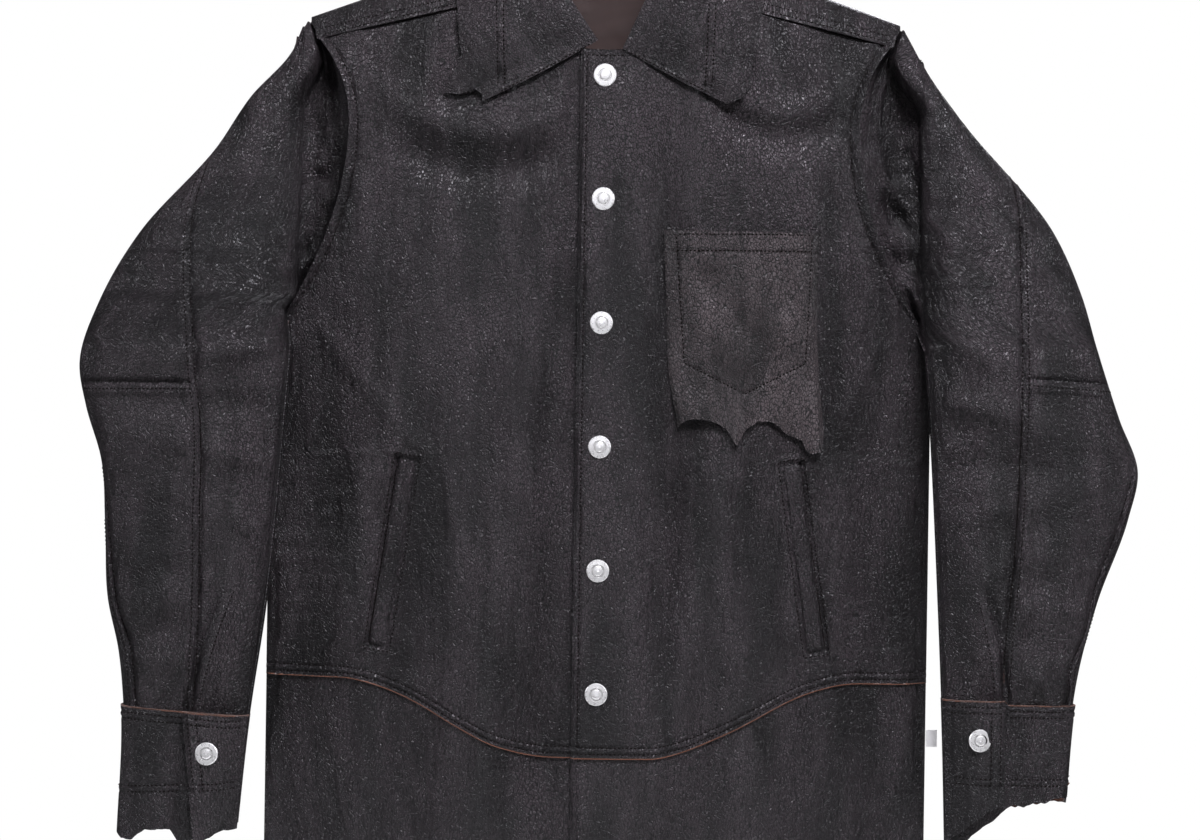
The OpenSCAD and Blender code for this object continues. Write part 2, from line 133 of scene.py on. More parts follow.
def point_at(p, f):
    """The place a fraction f of the way through a line's points."""
    return np.stack([np.interp(f * (len(p) - 1), np.arange(len(p)), p[:, k]) for k in range(3)], -1)


def lattice(rows, cols):
    return np.meshgrid(rows, cols, indexing="ij")


def even(rows, cols):
    """A lattice of even steps from 0 to 1."""
    return lattice(np.linspace(0, 1, rows), np.linspace(0, 1, cols))


def noise(u, v, seed):
    """Smooth value noise from -1 to 1, one lattice cell per unit."""
    table = np.random.default_rng(seed).uniform(-1, 1, (64, 64))
    i, j = np.floor(u).astype(int), np.floor(v).astype(int)
    fu, fv = u - i, v - j
    fu, fv = fu ** 3 * (fu * (fu * 6 - 15) + 10), fv ** 3 * (fv * (fv * 6 - 15) + 10)
    at = lambda a, b: table[a % 64, b % 64]
    return mix(mix(at(i, j), at(i + 1, j), fu), mix(at(i, j + 1), at(i + 1, j + 1), fu), fv)


# ---------------------------------------------------------------- the body's surface
def ridge_z(x):
    return -10 - 0.36 * np.maximum(0, np.abs(x) - 75)


def ridge_round(x):
    return curve(np.abs(x), [(0, 25), (60, 35), (120, 80), (250, 90)])


def half_depth(z):
    return curve(z, [(HEM, 46), (-620, 50), (-420, 56), (-250, 57), (-100, 52), (0, 48)])


def body_y(x, z, side, off=0.0):
    h = np.clip((ridge_z(x) + off - z) / (ridge_round(x) + off), 0, 1)
    belly = np.maximum(0, 1 - (x / HALF) ** 2) ** 0.65
    return MID + side * (half_depth(z) * belly + off) * np.sqrt(1 - (1 - h) ** 2)


def body_point(x, z, side, off, s=1):
    """Points standing off the body's surface, with x measured towards the side s."""
    return np.stack([s * x, body_y(x, z, side, off), z], -1)


def skirt_z(x):
    return -685 + 62 * smooth(40, 215, np.abs(x))


def hem_z(x):
    return HEM + 16 * smooth(90, 265, np.abs(x))


def top_z(x):
    a = np.abs(x)
    return np.where(a < 78, -102 + 47 * (a / 78) ** 2.5, -55 - 0.215 * (a - 78))


def arm_x(z):
    up = 212 + 38 * np.clip((z + 165) / 90, 0, 1.1) ** 2
    down = 212 + 53 * np.clip((-165 - z) / 153, 0, 1) ** 2
    return np.where(z > -165, up, down)


def side_x(z):
    return mix(HALF * math.sin(SIDE_ANGLE), arm_x(z), smooth(-336, ARM_LOW, z))


def fold_x(z):
    """The line that an open front bends along."""
    return mix(80, 257, (-45 - z) / 740)


def lift(s, x):
    return LIFT * (1 - smooth(25, 65, x)) if s == LEFT else np.zeros_like(np.asarray(x, float))


def line_fold(x, z, a, b, width, height):
    """A soft ridge (or valley) along the line from a to b, fading out at its ends."""
    a, b = np.array(a, float), np.array(b, float)
    d = b - a
    n = np.linalg.norm(d)
    along = ((x - a[0]) * d[0] + (z - a[1]) * d[1]) / n ** 2
    across = ((x - a[0]) * d[1] - (z - a[1]) * d[0]) / n
    return height * bell(across, width) * smooth(-0.25, 0.2, along) * smooth(1.25, 0.8, along)


def sag(x, z, middle, low, bow, width):
    """A fold that hangs in a shallow curve about its middle."""
    return bell(z - (low + bow * (x - middle) ** 2), width)


HANGING_FOLDS = [((-62, -330), (-98, -720), 20, 4.5), ((-34, -420), (-46, -720), 13, -3),
                 ((100, -430), (52, -720), 19, 4.5), ((62, -470), (30, -720), 13, -2.5),
                 ((-150, -300), (-215, -560), 22, 3), ((215, -330), (190, -640), 18, 3),
                 ((-236, -330), (-150, -430), 9, 2.4), ((240, -330), (170, -452), 9, 2)]


def front_folds(x, z):
    """How far the hanging fronts stand out of the plain body shape, where x is signed."""
    low = smooth(-300, -520, z)
    calm = smooth(14, 60, np.abs(x)) * smooth(0, 30, side_x(z) - np.abs(x) + 6)
    broad = (1.6 + 2.2 * low) * noise(x / 46 + z / 900, z / 300, 1)
    drape = broad + (0.7 + 0.6 * low) * noise(x / 21, z / 95, 2)
    left_drag = sag(x, z, -98, -168, 0.0042, 15) * smooth(-215, -140, x) * smooth(-14, -40, x)
    left_dip = sag(x, z, -98, -203, 0.0042, 17) * smooth(-205, -140, x) * smooth(-14, -50, x)
    right_drag = sag(x, z, 150, -150, 0.008, 12) * smooth(70, 110, x) * smooth(210, 180, x)
    right_dip = sag(x, z, 150, -172, 0.008, 15) * smooth(70, 110, x) * smooth(215, 180, x)
    folds = 4.5 * left_drag - 5 * left_dip + 2.5 * right_drag - 4 * right_dip
    for fold in HANGING_FOLDS:
        folds = folds + line_fold(x, z, *fold)
    small = 0.22 * noise(x / 8, z / 17, 3) + 0.12 * noise(x / 3.5, z / 6, 4)
    return 1.6 * (drape + folds) * calm + small * smooth(12, 30, np.abs(x))


# ---------------------------------------------------------------- meshes
def grid_normals(p):
    n = np.cross(np.gradient(p, axis=0), np.gradient(p, axis=1))
    return n / np.maximum(np.linalg.norm(n, axis=2, keepdims=True), 1e-9)


def arc(p, axis):
    step = np.linalg.norm(np.diff(p, axis=axis), axis=2)
    pad = [(0, 0), (0, 0)]
    pad[axis] = (1, 0)
    return np.cumsum(np.pad(step, pad), axis=axis)


def quads_mesh(name, verts, quads, material_index, smooth_flags, uv, materials):
    mesh = bpy.data.meshes.new(name)
    mesh.vertices.add(len(verts))
    mesh.vertices.foreach_set("co", (verts * MM).astype(np.float32).ravel())
    mesh.loops.add(quads.size)
    mesh.loops.foreach_set("vertex_index", quads.astype(np.int32).ravel())
    mesh.polygons.add(len(quads))
    mesh.polygons.foreach_set("loop_start", (np.arange(len(quads)) * 4).astype(np.int32))
    mesh.polygons.foreach_set("material_index", material_index.astype(np.int32))
    mesh.polygons.foreach_set("use_smooth", smooth_flags)
    layer = mesh.uv_layers.new(name="cut")
    layer.data.foreach_set("uv", (uv[quads.ravel()] * MM).astype(np.float32).ravel())
    for m in materials:
        mesh.materials.append(m)
    mesh.update()
    mesh.validate()
    obj = bpy.data.objects.new(name, mesh)
    bpy.context.scene.collection.objects.link(obj)
    return obj


SURFACES = {}


def sheet(name, p, out, wall=LEATHER, materials=None, uv_seed=0, raw=None, level=True, uv=None):
    """A curved sheet with a wall. p is a grid of points on its outer face, and out points outwards: a vector, or a
    point inside it as ("from", point). raw names the edge, first or last, whose outermost strip of faces shows the
    cut hide. The grain runs by height on a level sheet, and along the grid's columns otherwise, unless uv gives
    its own flat coordinates."""
    m, n = p.shape[:2]
    normal = grid_normals(p)
    toward = p - np.array(out[1], float) if out[0] == "from" else np.array(out, float)
    turned = np.sum(normal * toward) < 0
    if turned:
        normal = -normal
    k = m * n
    verts = np.concatenate([p.reshape(-1, 3), (p - wall * normal).reshape(-1, 3)])
    i, j = lattice(np.arange(m - 1), np.arange(n - 1))
    a = i * n + j
    outer = np.stack([a, a + 1, a + n + 1, a + n], 2).reshape(-1, 4)
    first, start = np.arange(n - 1), np.arange(m - 1) * n
    last, end = first + (m - 1) * n, start + n - 1
    rims = [(first, first + 1, first + 1 + k, first + k), (last + 1, last, last + k, last + 1 + k),
            (start + n, start, start + k, start + n + k), (end, end + n, end + n + k, end + k)]
    rim = np.concatenate([np.stack(r, 1) for r in rims])
    if not turned:
        outer, rim = outer[:, ::-1], rim[:, ::-1]
    back = outer[:, ::-1] + k
    face = np.zeros((m - 1, n - 1))
    if raw:
        face[{"first": 0, "last": -1}[raw]] = 1
    cut = [np.full(n - 1, raw == "first"), np.full(n - 1, raw == "last"), np.zeros(2 * (m - 1))]
    index = np.r_[face.ravel(), np.ones(len(back)), np.concatenate(cut)]
    flags = np.r_[np.ones(len(outer) + len(back), bool), np.zeros(len(rim), bool)]
    if uv is None:
        uv = np.stack([arc(p, 1), p[..., 2] if level else arc(p, 0)], 2)
    uv = uv.reshape(-1, 2) + 977 * uv_seed
    materials = materials or [MATERIALS["leather"], MATERIALS["suede"]]
    quads = np.concatenate([outer, back, rim])
    obj = quads_mesh(name, verts, quads, index, flags, np.concatenate([uv, uv]), materials)
    SURFACES[name] = BVHTree.FromPolygons([Vector(v) for v in p.reshape(-1, 3)], outer.tolist())
    return obj


def lining_sheet(name, p, out):
    return sheet(name, p, out, wall=LINING, materials=[MATERIALS["lining"]] * 2)


def drape(surface, xz, side=FRONT):
    """Points and outward normals where a path of (x, z), seen from the front or back, meets a sheet."""
    points, normals = [], []
    for x, z in xz:
        hit, normal, _, _ = SURFACES[surface].ray_cast(Vector((x, side * 400, z)), Vector((0, -side, 0)))
        if hit is None:
            continue
        if normal.y * side < 0:
            normal = -normal
        points.append(hit)
        normals.append(normal)
    return np.array(points), np.array(normals)


def stitch_run(points, normals):
    """The vertices of one row of stitches along a path, and how many stitches it has."""
    s = lengths(points)
    count = max(2, int(s[-1] / STITCH_PITCH))
    mids = (np.arange(count) + 0.5) * s[-1] / count
    at = lambda arr, t: np.stack([np.interp(t, s, arr[:, k]) for k in range(3)], 1)
    reach = STITCH_LENGTH / 2
    a, b, n = at(points, mids - reach), at(points, mids + reach), at(normals, mids)
    n /= np.linalg.norm(n, axis=1, keepdims=True)
    d = b - a
    d /= np.maximum(np.linalg.norm(d, axis=1, keepdims=True), 1e-9)
    side = np.cross(d, n)
    verts = []
    for t, r, up in THREAD_RINGS:
        centre = mix(a, b, t) + n * (up * STITCH_RADIUS - STITCH_SINK)
        for q in range(THREAD_SIDES):
            ang = q * math.pi / 3
            verts.append(centre + r * STITCH_RADIUS * (side * math.cos(ang) + n * math.sin(ang)))
    return np.stack(verts, 1).reshape(-1, 3), count


def stitches(name, runs):
    """Rows of thread stitches lying along (points, normals) paths on a surface."""
    made = [stitch_run(points, normals) for points, normals in runs]
    verts = np.concatenate([m[0] for m in made])
    count = sum(m[1] for m in made)
    k = THREAD_SIDES
    quads = []
    for ring in range(len(THREAD_RINGS) - 1):
        for q in range(k):
            quads.append([ring * k + q, ring * k + (q + 1) % k, ring * k + k + (q + 1) % k, ring * k + k + q])
    firsts = np.arange(count) * k * len(THREAD_RINGS)
    quads = (np.array(quads)[None] + firsts[:, None, None]).reshape(-1, 4)
    obj = quads_mesh(name, verts, quads, np.zeros(len(quads)), np.ones(len(quads), bool), verts[:, [0, 2]],
                     [MATERIALS["thread"]])
    return obj


def sew(name, surface, lines, attach, side=FRONT):
    """Rows of stitches on a sheet, each along a path of (x, z)."""
    runs = [drape(surface, path(line, 160), side) for line in lines]
    obj = stitches(name, [run for run in runs if len(run[0]) > 3])
    attach(obj)
    return obj


# ---------------------------------------------------------------- materials
def node_tools(name):
    mat = bpy.data.materials.new(name)
    mat.use_nodes = True
    nodes, links = mat.node_tree.nodes, mat.node_tree.links
    shader = nodes["Principled BSDF"]

    def add(kind, **values):
        node = nodes.new(kind)
        for key, value in values.items():
            if hasattr(node, key) and key not in node.inputs:
                setattr(node, key, value)
            else:
                node.inputs[key].default_value = value
        return node

    def link(a, b, out=0, into=0):
        links.new(a.outputs[out], b.inputs[into])

    return mat, shader, add, link


def math_node(add, link, operation, a, b, a_out=0, b_out=0):
    node = add("ShaderNodeMath", operation=operation)
    for slot, value, out in ((0, a, a_out), (1, b, b_out)):
        if isinstance(value, (int, float)):
            node.inputs[slot].default_value = value
        else:
            link(value, node, out, slot)
    return node


def two_tones(add, dark, light):
    tone = add("ShaderNodeMix", data_type="RGBA")
    tone.inputs[6].default_value = (*dark, 1)
    tone.inputs[7].default_value = (*light, 1)
    return tone


def paint(shader, add, link, dark, light, value, out=0):
    """Colours a shader from dark to light by a value."""
    tone = two_tones(add, dark, light)
    link(value, tone, out, 0)
    link(tone, shader, 2, "Base Color")


def leather_material(name, dark, light, grain=1.0, rough=0.30):
    """Pebbled hide: cells about 2 mm across, finer pores on them, slow changes of tone and some creasing. The base
    colour also holds painted shade and painted highlight: soft dark streaks hang down where folds would be shaded,
    the crevices between the pebbles are painted nearly black, and the pebble tops are painted lighter.
    """
    mat, shader, add, link = node_tools(name)
    uv = add("ShaderNodeTexCoord")
    wobble = add("ShaderNodeTexNoise", Scale=240.0, Detail=2.0)
    link(uv, wobble, "UV", "Vector")
    shift = add("ShaderNodeVectorMath", operation="MULTIPLY_ADD")
    shift.inputs[1].default_value = (0.0016, 0.0016, 0)
    link(wobble, shift, "Color", 0)
    link(uv, shift, "UV", 2)
    stretch = add("ShaderNodeMapping")
    stretch.inputs["Scale"].default_value = (1.0, 0.66, 1.0)
    link(shift, stretch, 0, "Vector")
    broad = add("ShaderNodeTexNoise", Scale=16.0, Detail=4.0, Roughness=0.6)
    link(uv, broad, "UV", "Vector")

    def ramp(source, out, low, high):
        node = add("ShaderNodeMapRange", interpolation_type="SMOOTHSTEP")
        node.inputs["From Min"].default_value = low
        node.inputs["From Max"].default_value = high
        link(source, node, out, "Value")
        return node

    def cells(scale, border):
        """Cells of one size, 0 at their borders and 1 inside."""
        node = add("ShaderNodeTexVoronoi", feature="DISTANCE_TO_EDGE", Scale=scale)
        link(stretch, node, 0, "Vector")
        return ramp(node, "Distance", 0.0, border)

    pebble, pore, crease = cells(470.0, 0.17), cells(1100.0, 0.25), cells(150.0, 0.06)
    some = ramp(broad, "Fac", 0.38, 0.62)
    tall = math_node(add, link, "MULTIPLY_ADD", pore, 0.22)
    link(pebble, tall, 0, 2)
    soft_crease = math_node(add, link, "MULTIPLY", crease, some)
    height = math_node(add, link, "MULTIPLY_ADD", soft_crease, 0.6)
    link(tall, height, 0, 2)
    bump = add("ShaderNodeBump", Strength=0.8 * grain, Distance=0.001)
    link(height, bump, 0, "Height")
    hang = add("ShaderNodeMapping")
    hang.inputs["Scale"].default_value = (1.0, 0.22, 1.0)
    link(uv, hang, "UV", "Vector")
    swell = add("ShaderNodeTexNoise", Scale=24.0, Detail=3.0, Roughness=0.55)
    link(hang, swell, 0, "Vector")
    soft = add("ShaderNodeBump", Strength=0.9, Distance=0.018)
    link(swell, soft, "Fac", "Height")
    link(bump, soft, "Normal", "Normal")
    link(soft, shader, 0, "Normal")
    # painted shade: the vertically stretched noise that bumps the soft folds also darkens the base colour in
    # streaks, down to a quarter, where those folds would be shaded
    folds = ramp(swell, "Fac", 0.36, 0.60)
    shade = math_node(add, link, "MULTIPLY_ADD", folds, 0.75)
    shade.inputs[2].default_value = 0.25
    patch = math_node(add, link, "MULTIPLY_ADD", some, 0.3)
    patch.inputs[2].default_value = 0.7
    both = math_node(add, link, "MULTIPLY", shade, patch)
    # the grain's pattern is the hide's own, but it is painted with light and shade: the crevices between pebbles go
    # nearly black as painted shade, and the pebble tops take the light colour as a painted highlight
    amount = math_node(add, link, "MULTIPLY", pebble, both)
    paint(shader, add, link, dark, light, amount)
    polish = add("ShaderNodeMapRange", **{"To Min": rough + 0.25, "To Max": rough - 0.02})
    link(pebble, polish, 0, "Value")
    link(polish, shader, 0, "Roughness")
    shader.inputs["Specular IOR Level"].default_value = 0.36
    return mat


def suede_material(name, dark, light):
    """The raw flesh side and cut edges of the hide: short fibres, no gloss."""
    mat, shader, add, link = node_tools(name)
    uv = add("ShaderNodeTexCoord")
    nap = add("ShaderNodeTexNoise", Scale=900.0, Detail=4.0, Roughness=0.7)
    patches = add("ShaderNodeTexNoise", Scale=60.0, Detail=3.0)
    link(uv, nap, "UV", "Vector")
    link(uv, patches, "UV", "Vector")
    both = math_node(add, link, "MULTIPLY_ADD", nap, 0.6, "Fac")
    half = math_node(add, link, "MULTIPLY", patches, 0.45, "Fac")
    link(half, both, 0, 2)
    paint(shader, add, link, dark, light, both)
    bump = add("ShaderNodeBump", Strength=0.6, Distance=0.0005)
    link(nap, bump, "Fac", "Height")
    link(bump, shader, 0, "Normal")
    shader.inputs["Roughness"].default_value = 0.95
    shader.inputs["Specular IOR Level"].default_value = 0.15
    shader.inputs["Sheen Weight"].default_value = 0.25
    return mat


def satin_material(name, dark, light):
    """Twill lining: fine diagonal threads with a soft sheen."""
    mat, shader, add, link = node_tools(name)
    uv = add("ShaderNodeTexCoord")
    turn = add("ShaderNodeMapping")
    turn.inputs["Rotation"].default_value = (0, 0, math.radians(35))
    link(uv, turn, "UV", "Vector")
    twill = add("ShaderNodeTexWave", Scale=420.0, Distortion=0.4)
    link(turn, twill, 0, "Vector")
    shade = add("ShaderNodeTexNoise", Scale=35.0, Detail=4.0)
    link(uv, shade, "UV", "Vector")
    amount = math_node(add, link, "MULTIPLY_ADD", twill, 0.3, "Fac")
    link(shade, amount, "Fac", 2)
    paint(shader, add, link, dark, light, amount)
    bump = add("ShaderNodeBump", Strength=0.3, Distance=0.0003)
    link(twill, bump, "Fac", "Height")
    link(bump, shader, 0, "Normal")
    shader.inputs["Roughness"].default_value = 0.6
    shader.inputs["Specular IOR Level"].default_value = 0.3
    shader.inputs["Sheen Weight"].default_value = 0.1
    return mat


def metal_material(name):
    """Satin nickel plate, slightly dulled by handling, with painted shade in its grooves: an ambient occlusion node
    darkens the colour in hollows.
    """
    mat, shader, add, link = node_tools(name)
    pos = add("ShaderNodeTexCoord")
    marks = add("ShaderNodeTexNoise", Scale=300.0, Detail=3.0)
    link(pos, marks, "Object", "Vector")
    rough = add("ShaderNodeMapRange", **{"To Min": 0.24, "To Max": 0.32})
    link(marks, rough, "Fac", "Value")
    link(rough, shader, 0, "Roughness")
    tone = two_tones(add, (0.84, 0.83, 0.81), (0.92, 0.91, 0.90))
    link(marks, tone, "Fac", 0)
    # painted shade: ambient occlusion darkens the plate's colour in its grooves and hollows
    painted_groove_shade = add("ShaderNodeAmbientOcclusion", Distance=0.0015)
    link(tone, painted_groove_shade, 2, "Color")
    link(painted_groove_shade, shader, "Color", "Base Color")
    shader.inputs["Metallic"].default_value = 0.6
    return mat


def thread_material(name):
    mat, shader, add, link = node_tools(name)
    pos = add("ShaderNodeTexCoord")
    twist = add("ShaderNodeTexNoise", Scale=1500.0, Detail=2.0)
    link(pos, twist, "Object", "Vector")
    paint(shader, add, link, (0.0022, 0.0015, 0.0013), (0.007, 0.0045, 0.004), twist, "Fac")
    shader.inputs["Roughness"].default_value = 0.8
    shader.inputs["Specular IOR Level"].default_value = 0.1
    return mat


MATERIALS = {
    # in both leathers the dark colour is painted shade for the grain's crevices and the fold streaks, and the light
    # colour is the pebble tops, which are part the hide's tone and part painted highlight
    "leather": leather_material("leather", (0.0009, 0.0007, 0.0008), (0.040, 0.0312, 0.0355)),
    "worn": leather_material("worn leather", (0.0014, 0.0010, 0.0010), (0.074, 0.058, 0.061), 0.9, 0.36),
    "suede": suede_material("flesh side", (0.055, 0.022, 0.014), (0.16, 0.068, 0.042)),
    "lining": satin_material("lining", (0.013, 0.0060, 0.0050), (0.032, 0.0155, 0.0130)),
    "cloth": satin_material("label cloth", (0.80, 0.79, 0.77), (0.92, 0.91, 0.90)),
    "metal": metal_material("nickel"),
    "thread": thread_material("thread"),
}


# ---------------------------------------------------------------- weights of soft pieces across the joints, worked out but not applied
def bend(obj, weight):
    """Bakes obj's transform into its mesh and works out a weight for each vertex from weight(x, y, z); the weights
    are not applied.
    """
    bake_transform(obj)
    co = np.zeros(len(obj.data.vertices) * 3, np.float32)
    obj.data.vertices.foreach_get("co", co)
    w = weight(*(co.reshape(-1, 3).T / MM)).astype(np.float32)
    return obj


def front_weight(x, y, z):
    inboard = fold_x(np.minimum(z, -45)) - np.abs(x)
    return smooth(-32, 42, inboard) * smooth(-50, -98, z)


def open_front(obj):
    return bend(obj, front_weight)


# ---------------------------------------------------------------- fronts
def knots(near_start, near_end, counts):
    """Steps from 0 to 1 that are finer near both ends."""
    a, b, c = counts
    return np.r_[np.linspace(0, near_start, a)[:-1], np.linspace(near_start, 1 - near_end, b)[:-1],
                 np.linspace(1 - near_end, 1, c)]


def welt_frame(x, z):
    """A point's place beside the slanted hand pocket: across it and along it."""
    dx, dz = x - WELT_X, z - WELT_Z
    across = dx * math.cos(WELT_TILT) + dz * math.sin(WELT_TILT)
    return across, dz * math.cos(WELT_TILT) - dx * math.sin(WELT_TILT)


def welt_point(a, b):
    """The place on the front of a point a across and b along the hand pocket."""
    x = WELT_X + a * math.cos(WELT_TILT) - b * math.sin(WELT_TILT)
    return x, WELT_Z + b * math.cos(WELT_TILT) + a * math.sin(WELT_TILT)


def front_seams(s, x, z):
    """Grooves and ridges of the sewing on a front."""
    above = z - skirt_z(x)
    rim = side_x(z) - x
    out = -0.9 * bell(above - 4, 1.2) - 0.9 * bell(above - 9.5, 1.2) + 0.7 * bell(above - 6.7, 1.6)
    pucker = noise(z / 7, z * 0, 71 + s)
    arm = smooth(-330, -314, z)      # only beside the armhole
    out = out + arm * (2.6 * bell(rim, 4.5) - (1.7 + 0.6 * pucker) * bell(rim - 7.5, 2.0))
    out = out + arm * 1.0 * pucker * bell(rim - 13, 6)
    across, along = welt_frame(x, z)
    inside = smooth(81, 78.5, np.abs(along))
    box = np.maximum(np.abs(across) - 8, np.abs(along) - 78)
    out = out - 3.6 * bell(across - 7.2, 1.8) * inside
    out = out - 1.8 * bell(box - 1.2, 1.6) + 1.0 * bell(box - 4.6, 2.4)
    return out - 0.6 * bell(box - 8.6, 1.2)


def front_point(s, x, z, off=0.0):
    """A point on a front, where x is the distance from the centre line towards that front's side."""
    edge = 3.4 * (1 - smooth(0, 3.6, x + LAP)) ** 2
    stitch = 1.0 * bell(x + LAP - 5.5, 1.1) - 0.5 * bell(x + LAP - 3, 1.5)
    top = 0.5 * bell(z - top_z(x) + 5, 1.2) * smooth(40, 20, x)
    out = off + lift(s, x) + front_folds(s * x, z) - edge - stitch - top + front_seams(s, x, z)
    return np.stack([s * x, body_y(x, z, FRONT, out), z], -1)


def make_front(s):
    name = SIDES[s] + "_front"
    v, u = lattice(np.r_[0, 0.0022, knots(0.03, 0.02, (18, 250, 10))[1:]], knots(0.05, 0.055, (16, 116, 16)))
    start = math.asin(-LAP / HALF)
    end = np.arcsin(side_x(mix(-624, -88, v)) / HALF)
    x = HALF * np.sin(mix(start, end, u))
    z = mix(skirt_z(x), top_z(x), v)
    obj = sheet(name + "_leather", front_point(s, x, z), (0, -1, 0), uv_seed=1 + s, raw="first")
    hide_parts(name + "_edge", name + "_side")
    return open_front(obj)


def make_facing(s):
    """The strip of hide behind each front edge, the lining beyond it, and the hand pocket's bag."""
    name = SIDES[s] + "_front"
    v, u = lattice(np.linspace(0.01, 0.99, 90), np.linspace(0, 1, 20))
    x = mix(-LAP + 1.5, 55, u)
    p = front_point(s, x, mix(skirt_z(x) + 2, top_z(x) - 1, v), off=-2.4)
    facing = sheet(name + "_facing_leather", p, (0, -1, 0), wall=1.0, uv_seed=19 + s,
                   materials=[MATERIALS["suede"], MATERIALS["leather"]])
    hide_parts(name + "_facing")
    open_front(facing)
    v, u = even(120, 60)
    z = mix(-672, -110, v)
    x = mix(53, np.minimum(side_x(z) - 7, 262), u)
    out = front_folds(s * x, z) - 5.4 + 0.8 * noise(x / 20, z / 90, 81)
    cloth = lining_sheet(name + "_lining_cloth", body_point(x, z, FRONT, out, s), (0, -1, 0))
    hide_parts(name + "_lining")
    open_front(cloth)
    v, u = even(30, 16)
    x, z = mix(62, 160, u), mix(-668, -446, v)
    p = body_point(x, z, FRONT, front_folds(s * x, z) - 3.4, s)
    bag = lining_sheet(SIDES[s] + "_pocket_bag_cloth", p, (0, -1, 0))
    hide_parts(SIDES[s] + "_pocket_bag")
    open_front(bag)


def ragged_hem(x, seed):
    """How far the raw hem wanders up and down."""
    return 5 * noise(x / 14, x * 0, seed) + 2 * noise(x / 4, x * 0, seed + 1)


def make_skirt(s):
    name = SIDES[s]
    v, u = lattice(np.linspace(0, 1, 60), knots(0.05, 0.03, (16, 116, 8)))
    x = HALF * np.sin(mix(math.asin(-LAP / HALF), SIDE_ANGLE, u))
    z = mix(hem_z(x) + ragged_hem(s * x, 21), skirt_z(x) + 11, v)
    obj = sheet(name + "_skirt", front_point(s, x, z, off=-1.9), (0, -1, 0), uv_seed=5 + s)
    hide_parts(name + "_skirt_edge", name + "_skirt_side")
    return open_front(obj)


def make_welt(s):
    name = SIDES[s] + "_welt"
    v, u = even(90, 20)
    a, b = mix(-8.2, 6.4, u), mix(-78, 78, v)
    x, z = welt_point(a, b)
    crown = 1 - np.abs((a + 0.9) / 7.3) ** 5
    ends = smooth(78.5, 75, np.abs(b))
    out = -0.6 + 2.1 * crown * ends + 0.25 * noise(z / 16, a / 6, 91 + s) + 0.3 * bell(a + 4.5, 1.5)
    p = front_point(s, x, z, off=out + 2.6 * bell(a - 7.2, 1.8) * ends)
    obj = sheet(name + "_leather", p, (0, -1, 0), uv_seed=23 + s)
    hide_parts(name)
    return open_front(obj)


# ---------------------------------------------------------------- chest pocket
POCKET_TOP = -249
POCKET_INNER = [(-430, 65), (-411, 64), (-375, 57), (-310, 53), (-249, 50)]
POCKET_OUTER = [(-430, 186), (-415, 185), (-375, 181), (-310, 178), (-249, 180)]
POCKET_RAW = [(64, -411), (72, -405), (79, -404), (92, -405), (104, -411), (109, -421), (112, -425), (116, -419),
              (121, -412), (133, -405), (145, -406), (156, -416), (167, -420), (170, -428), (174, -432), (183, -430),
              (186, -415)]
POCKET_SIDES = [[(60.5, -254), (68.5, -358)], [(173, -254), (169, -357)]]
POCKET_POINT = [[(68.5, -358), (118.5, -383)], [(118.5, -383), (169, -357)]]
POCKET_BAND = [(60.5, -266), (172, -264.5)]


def from_line(x, z, a, b):
    """Distance from the piece of line between a and b."""
    a, b = np.array(a, float), np.array(b, float)
    d = b - a
    t = np.clip(((x - a[0]) * d[0] + (z - a[1]) * d[1]) / (d @ d), 0, 1)
    return np.hypot(x - a[0] - t * d[0], z - a[1] - t * d[1])


def make_chest_pocket():
    v, u = lattice(knots(0.03, 0.12, (6, 90, 24)), knots(0.06, 0.04, (9, 104, 7)))
    low = np.interp(mix(64, 186, u), *zip(*POCKET_RAW)) + 0.8 * noise(u * 40, u * 0, 95)
    z = mix(low, POCKET_TOP, v)
    x = mix(curve(z, POCKET_INNER), curve(z, POCKET_OUTER), u)
    groove = np.min([from_line(x, z, *line) for line in POCKET_SIDES + POCKET_POINT], axis=0)
    left = mix(60.5, 68.5, np.clip((-254 - z) / 104, 0, 1))
    right = mix(173, 169, np.clip((-254 - z) / 104, 0, 1))
    inside = np.clip((x - left) / (right - left), 0, 1)
    floor = -358 - 25 * (1 - np.abs(inside - 0.5) * 2)
    deep = smooth(0, 45, z - floor)
    puff = 3.2 * np.sin(math.pi * inside) ** 0.7 * deep * (1 + 0.35 * smooth(-290, -250, z))
    dents = 0.9 * noise(x / 22, z / 26, 96) + 0.35 * noise(x / 8, z / 10, 97)
    dents = dents + 0.12 * noise(x / 3.5, z / 4, 98)
    loose = smooth(4, 34, floor - z)
    waves = loose * (2.2 + 2.2 * noise(x / 17, z / 60, 99) + 0.8 * np.sin(x / 5.5))
    band = smooth(-267.5, -265, z)
    dents = dents + line_fold(x, z, (78, -282), (128, -345), 12, -4)
    dents = dents + line_fold(x, z, (112, -272), (158, -338), 15, 3)
    out = 2.8 + puff + dents * (0.5 + 0.5 * deep) + waves + 0.9 * band - 0.8 * bell(z + 265.5, 1.3)
    out = out - 1.0 * bell(groove, 1.4) - 1.6 * (1 - smooth(0, 4, x - curve(z, POCKET_INNER))) ** 2
    p = front_point(LEFT, x, z, off=out)
    obj = sheet("chest_pocket_leather", p, (0, -1, 0), uv_seed=27,
                materials=[MATERIALS["worn"], MATERIALS["suede"]])
    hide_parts("chest_pocket", "chest_pocket_side")
    open_front(obj)
    rows = POCKET_SIDES + POCKET_POINT + [POCKET_BAND, [(62, -252.5), (172, -251)]]
    sew("chest_pocket_stitches", "chest_pocket_leather", rows, lambda o: open_front(o))


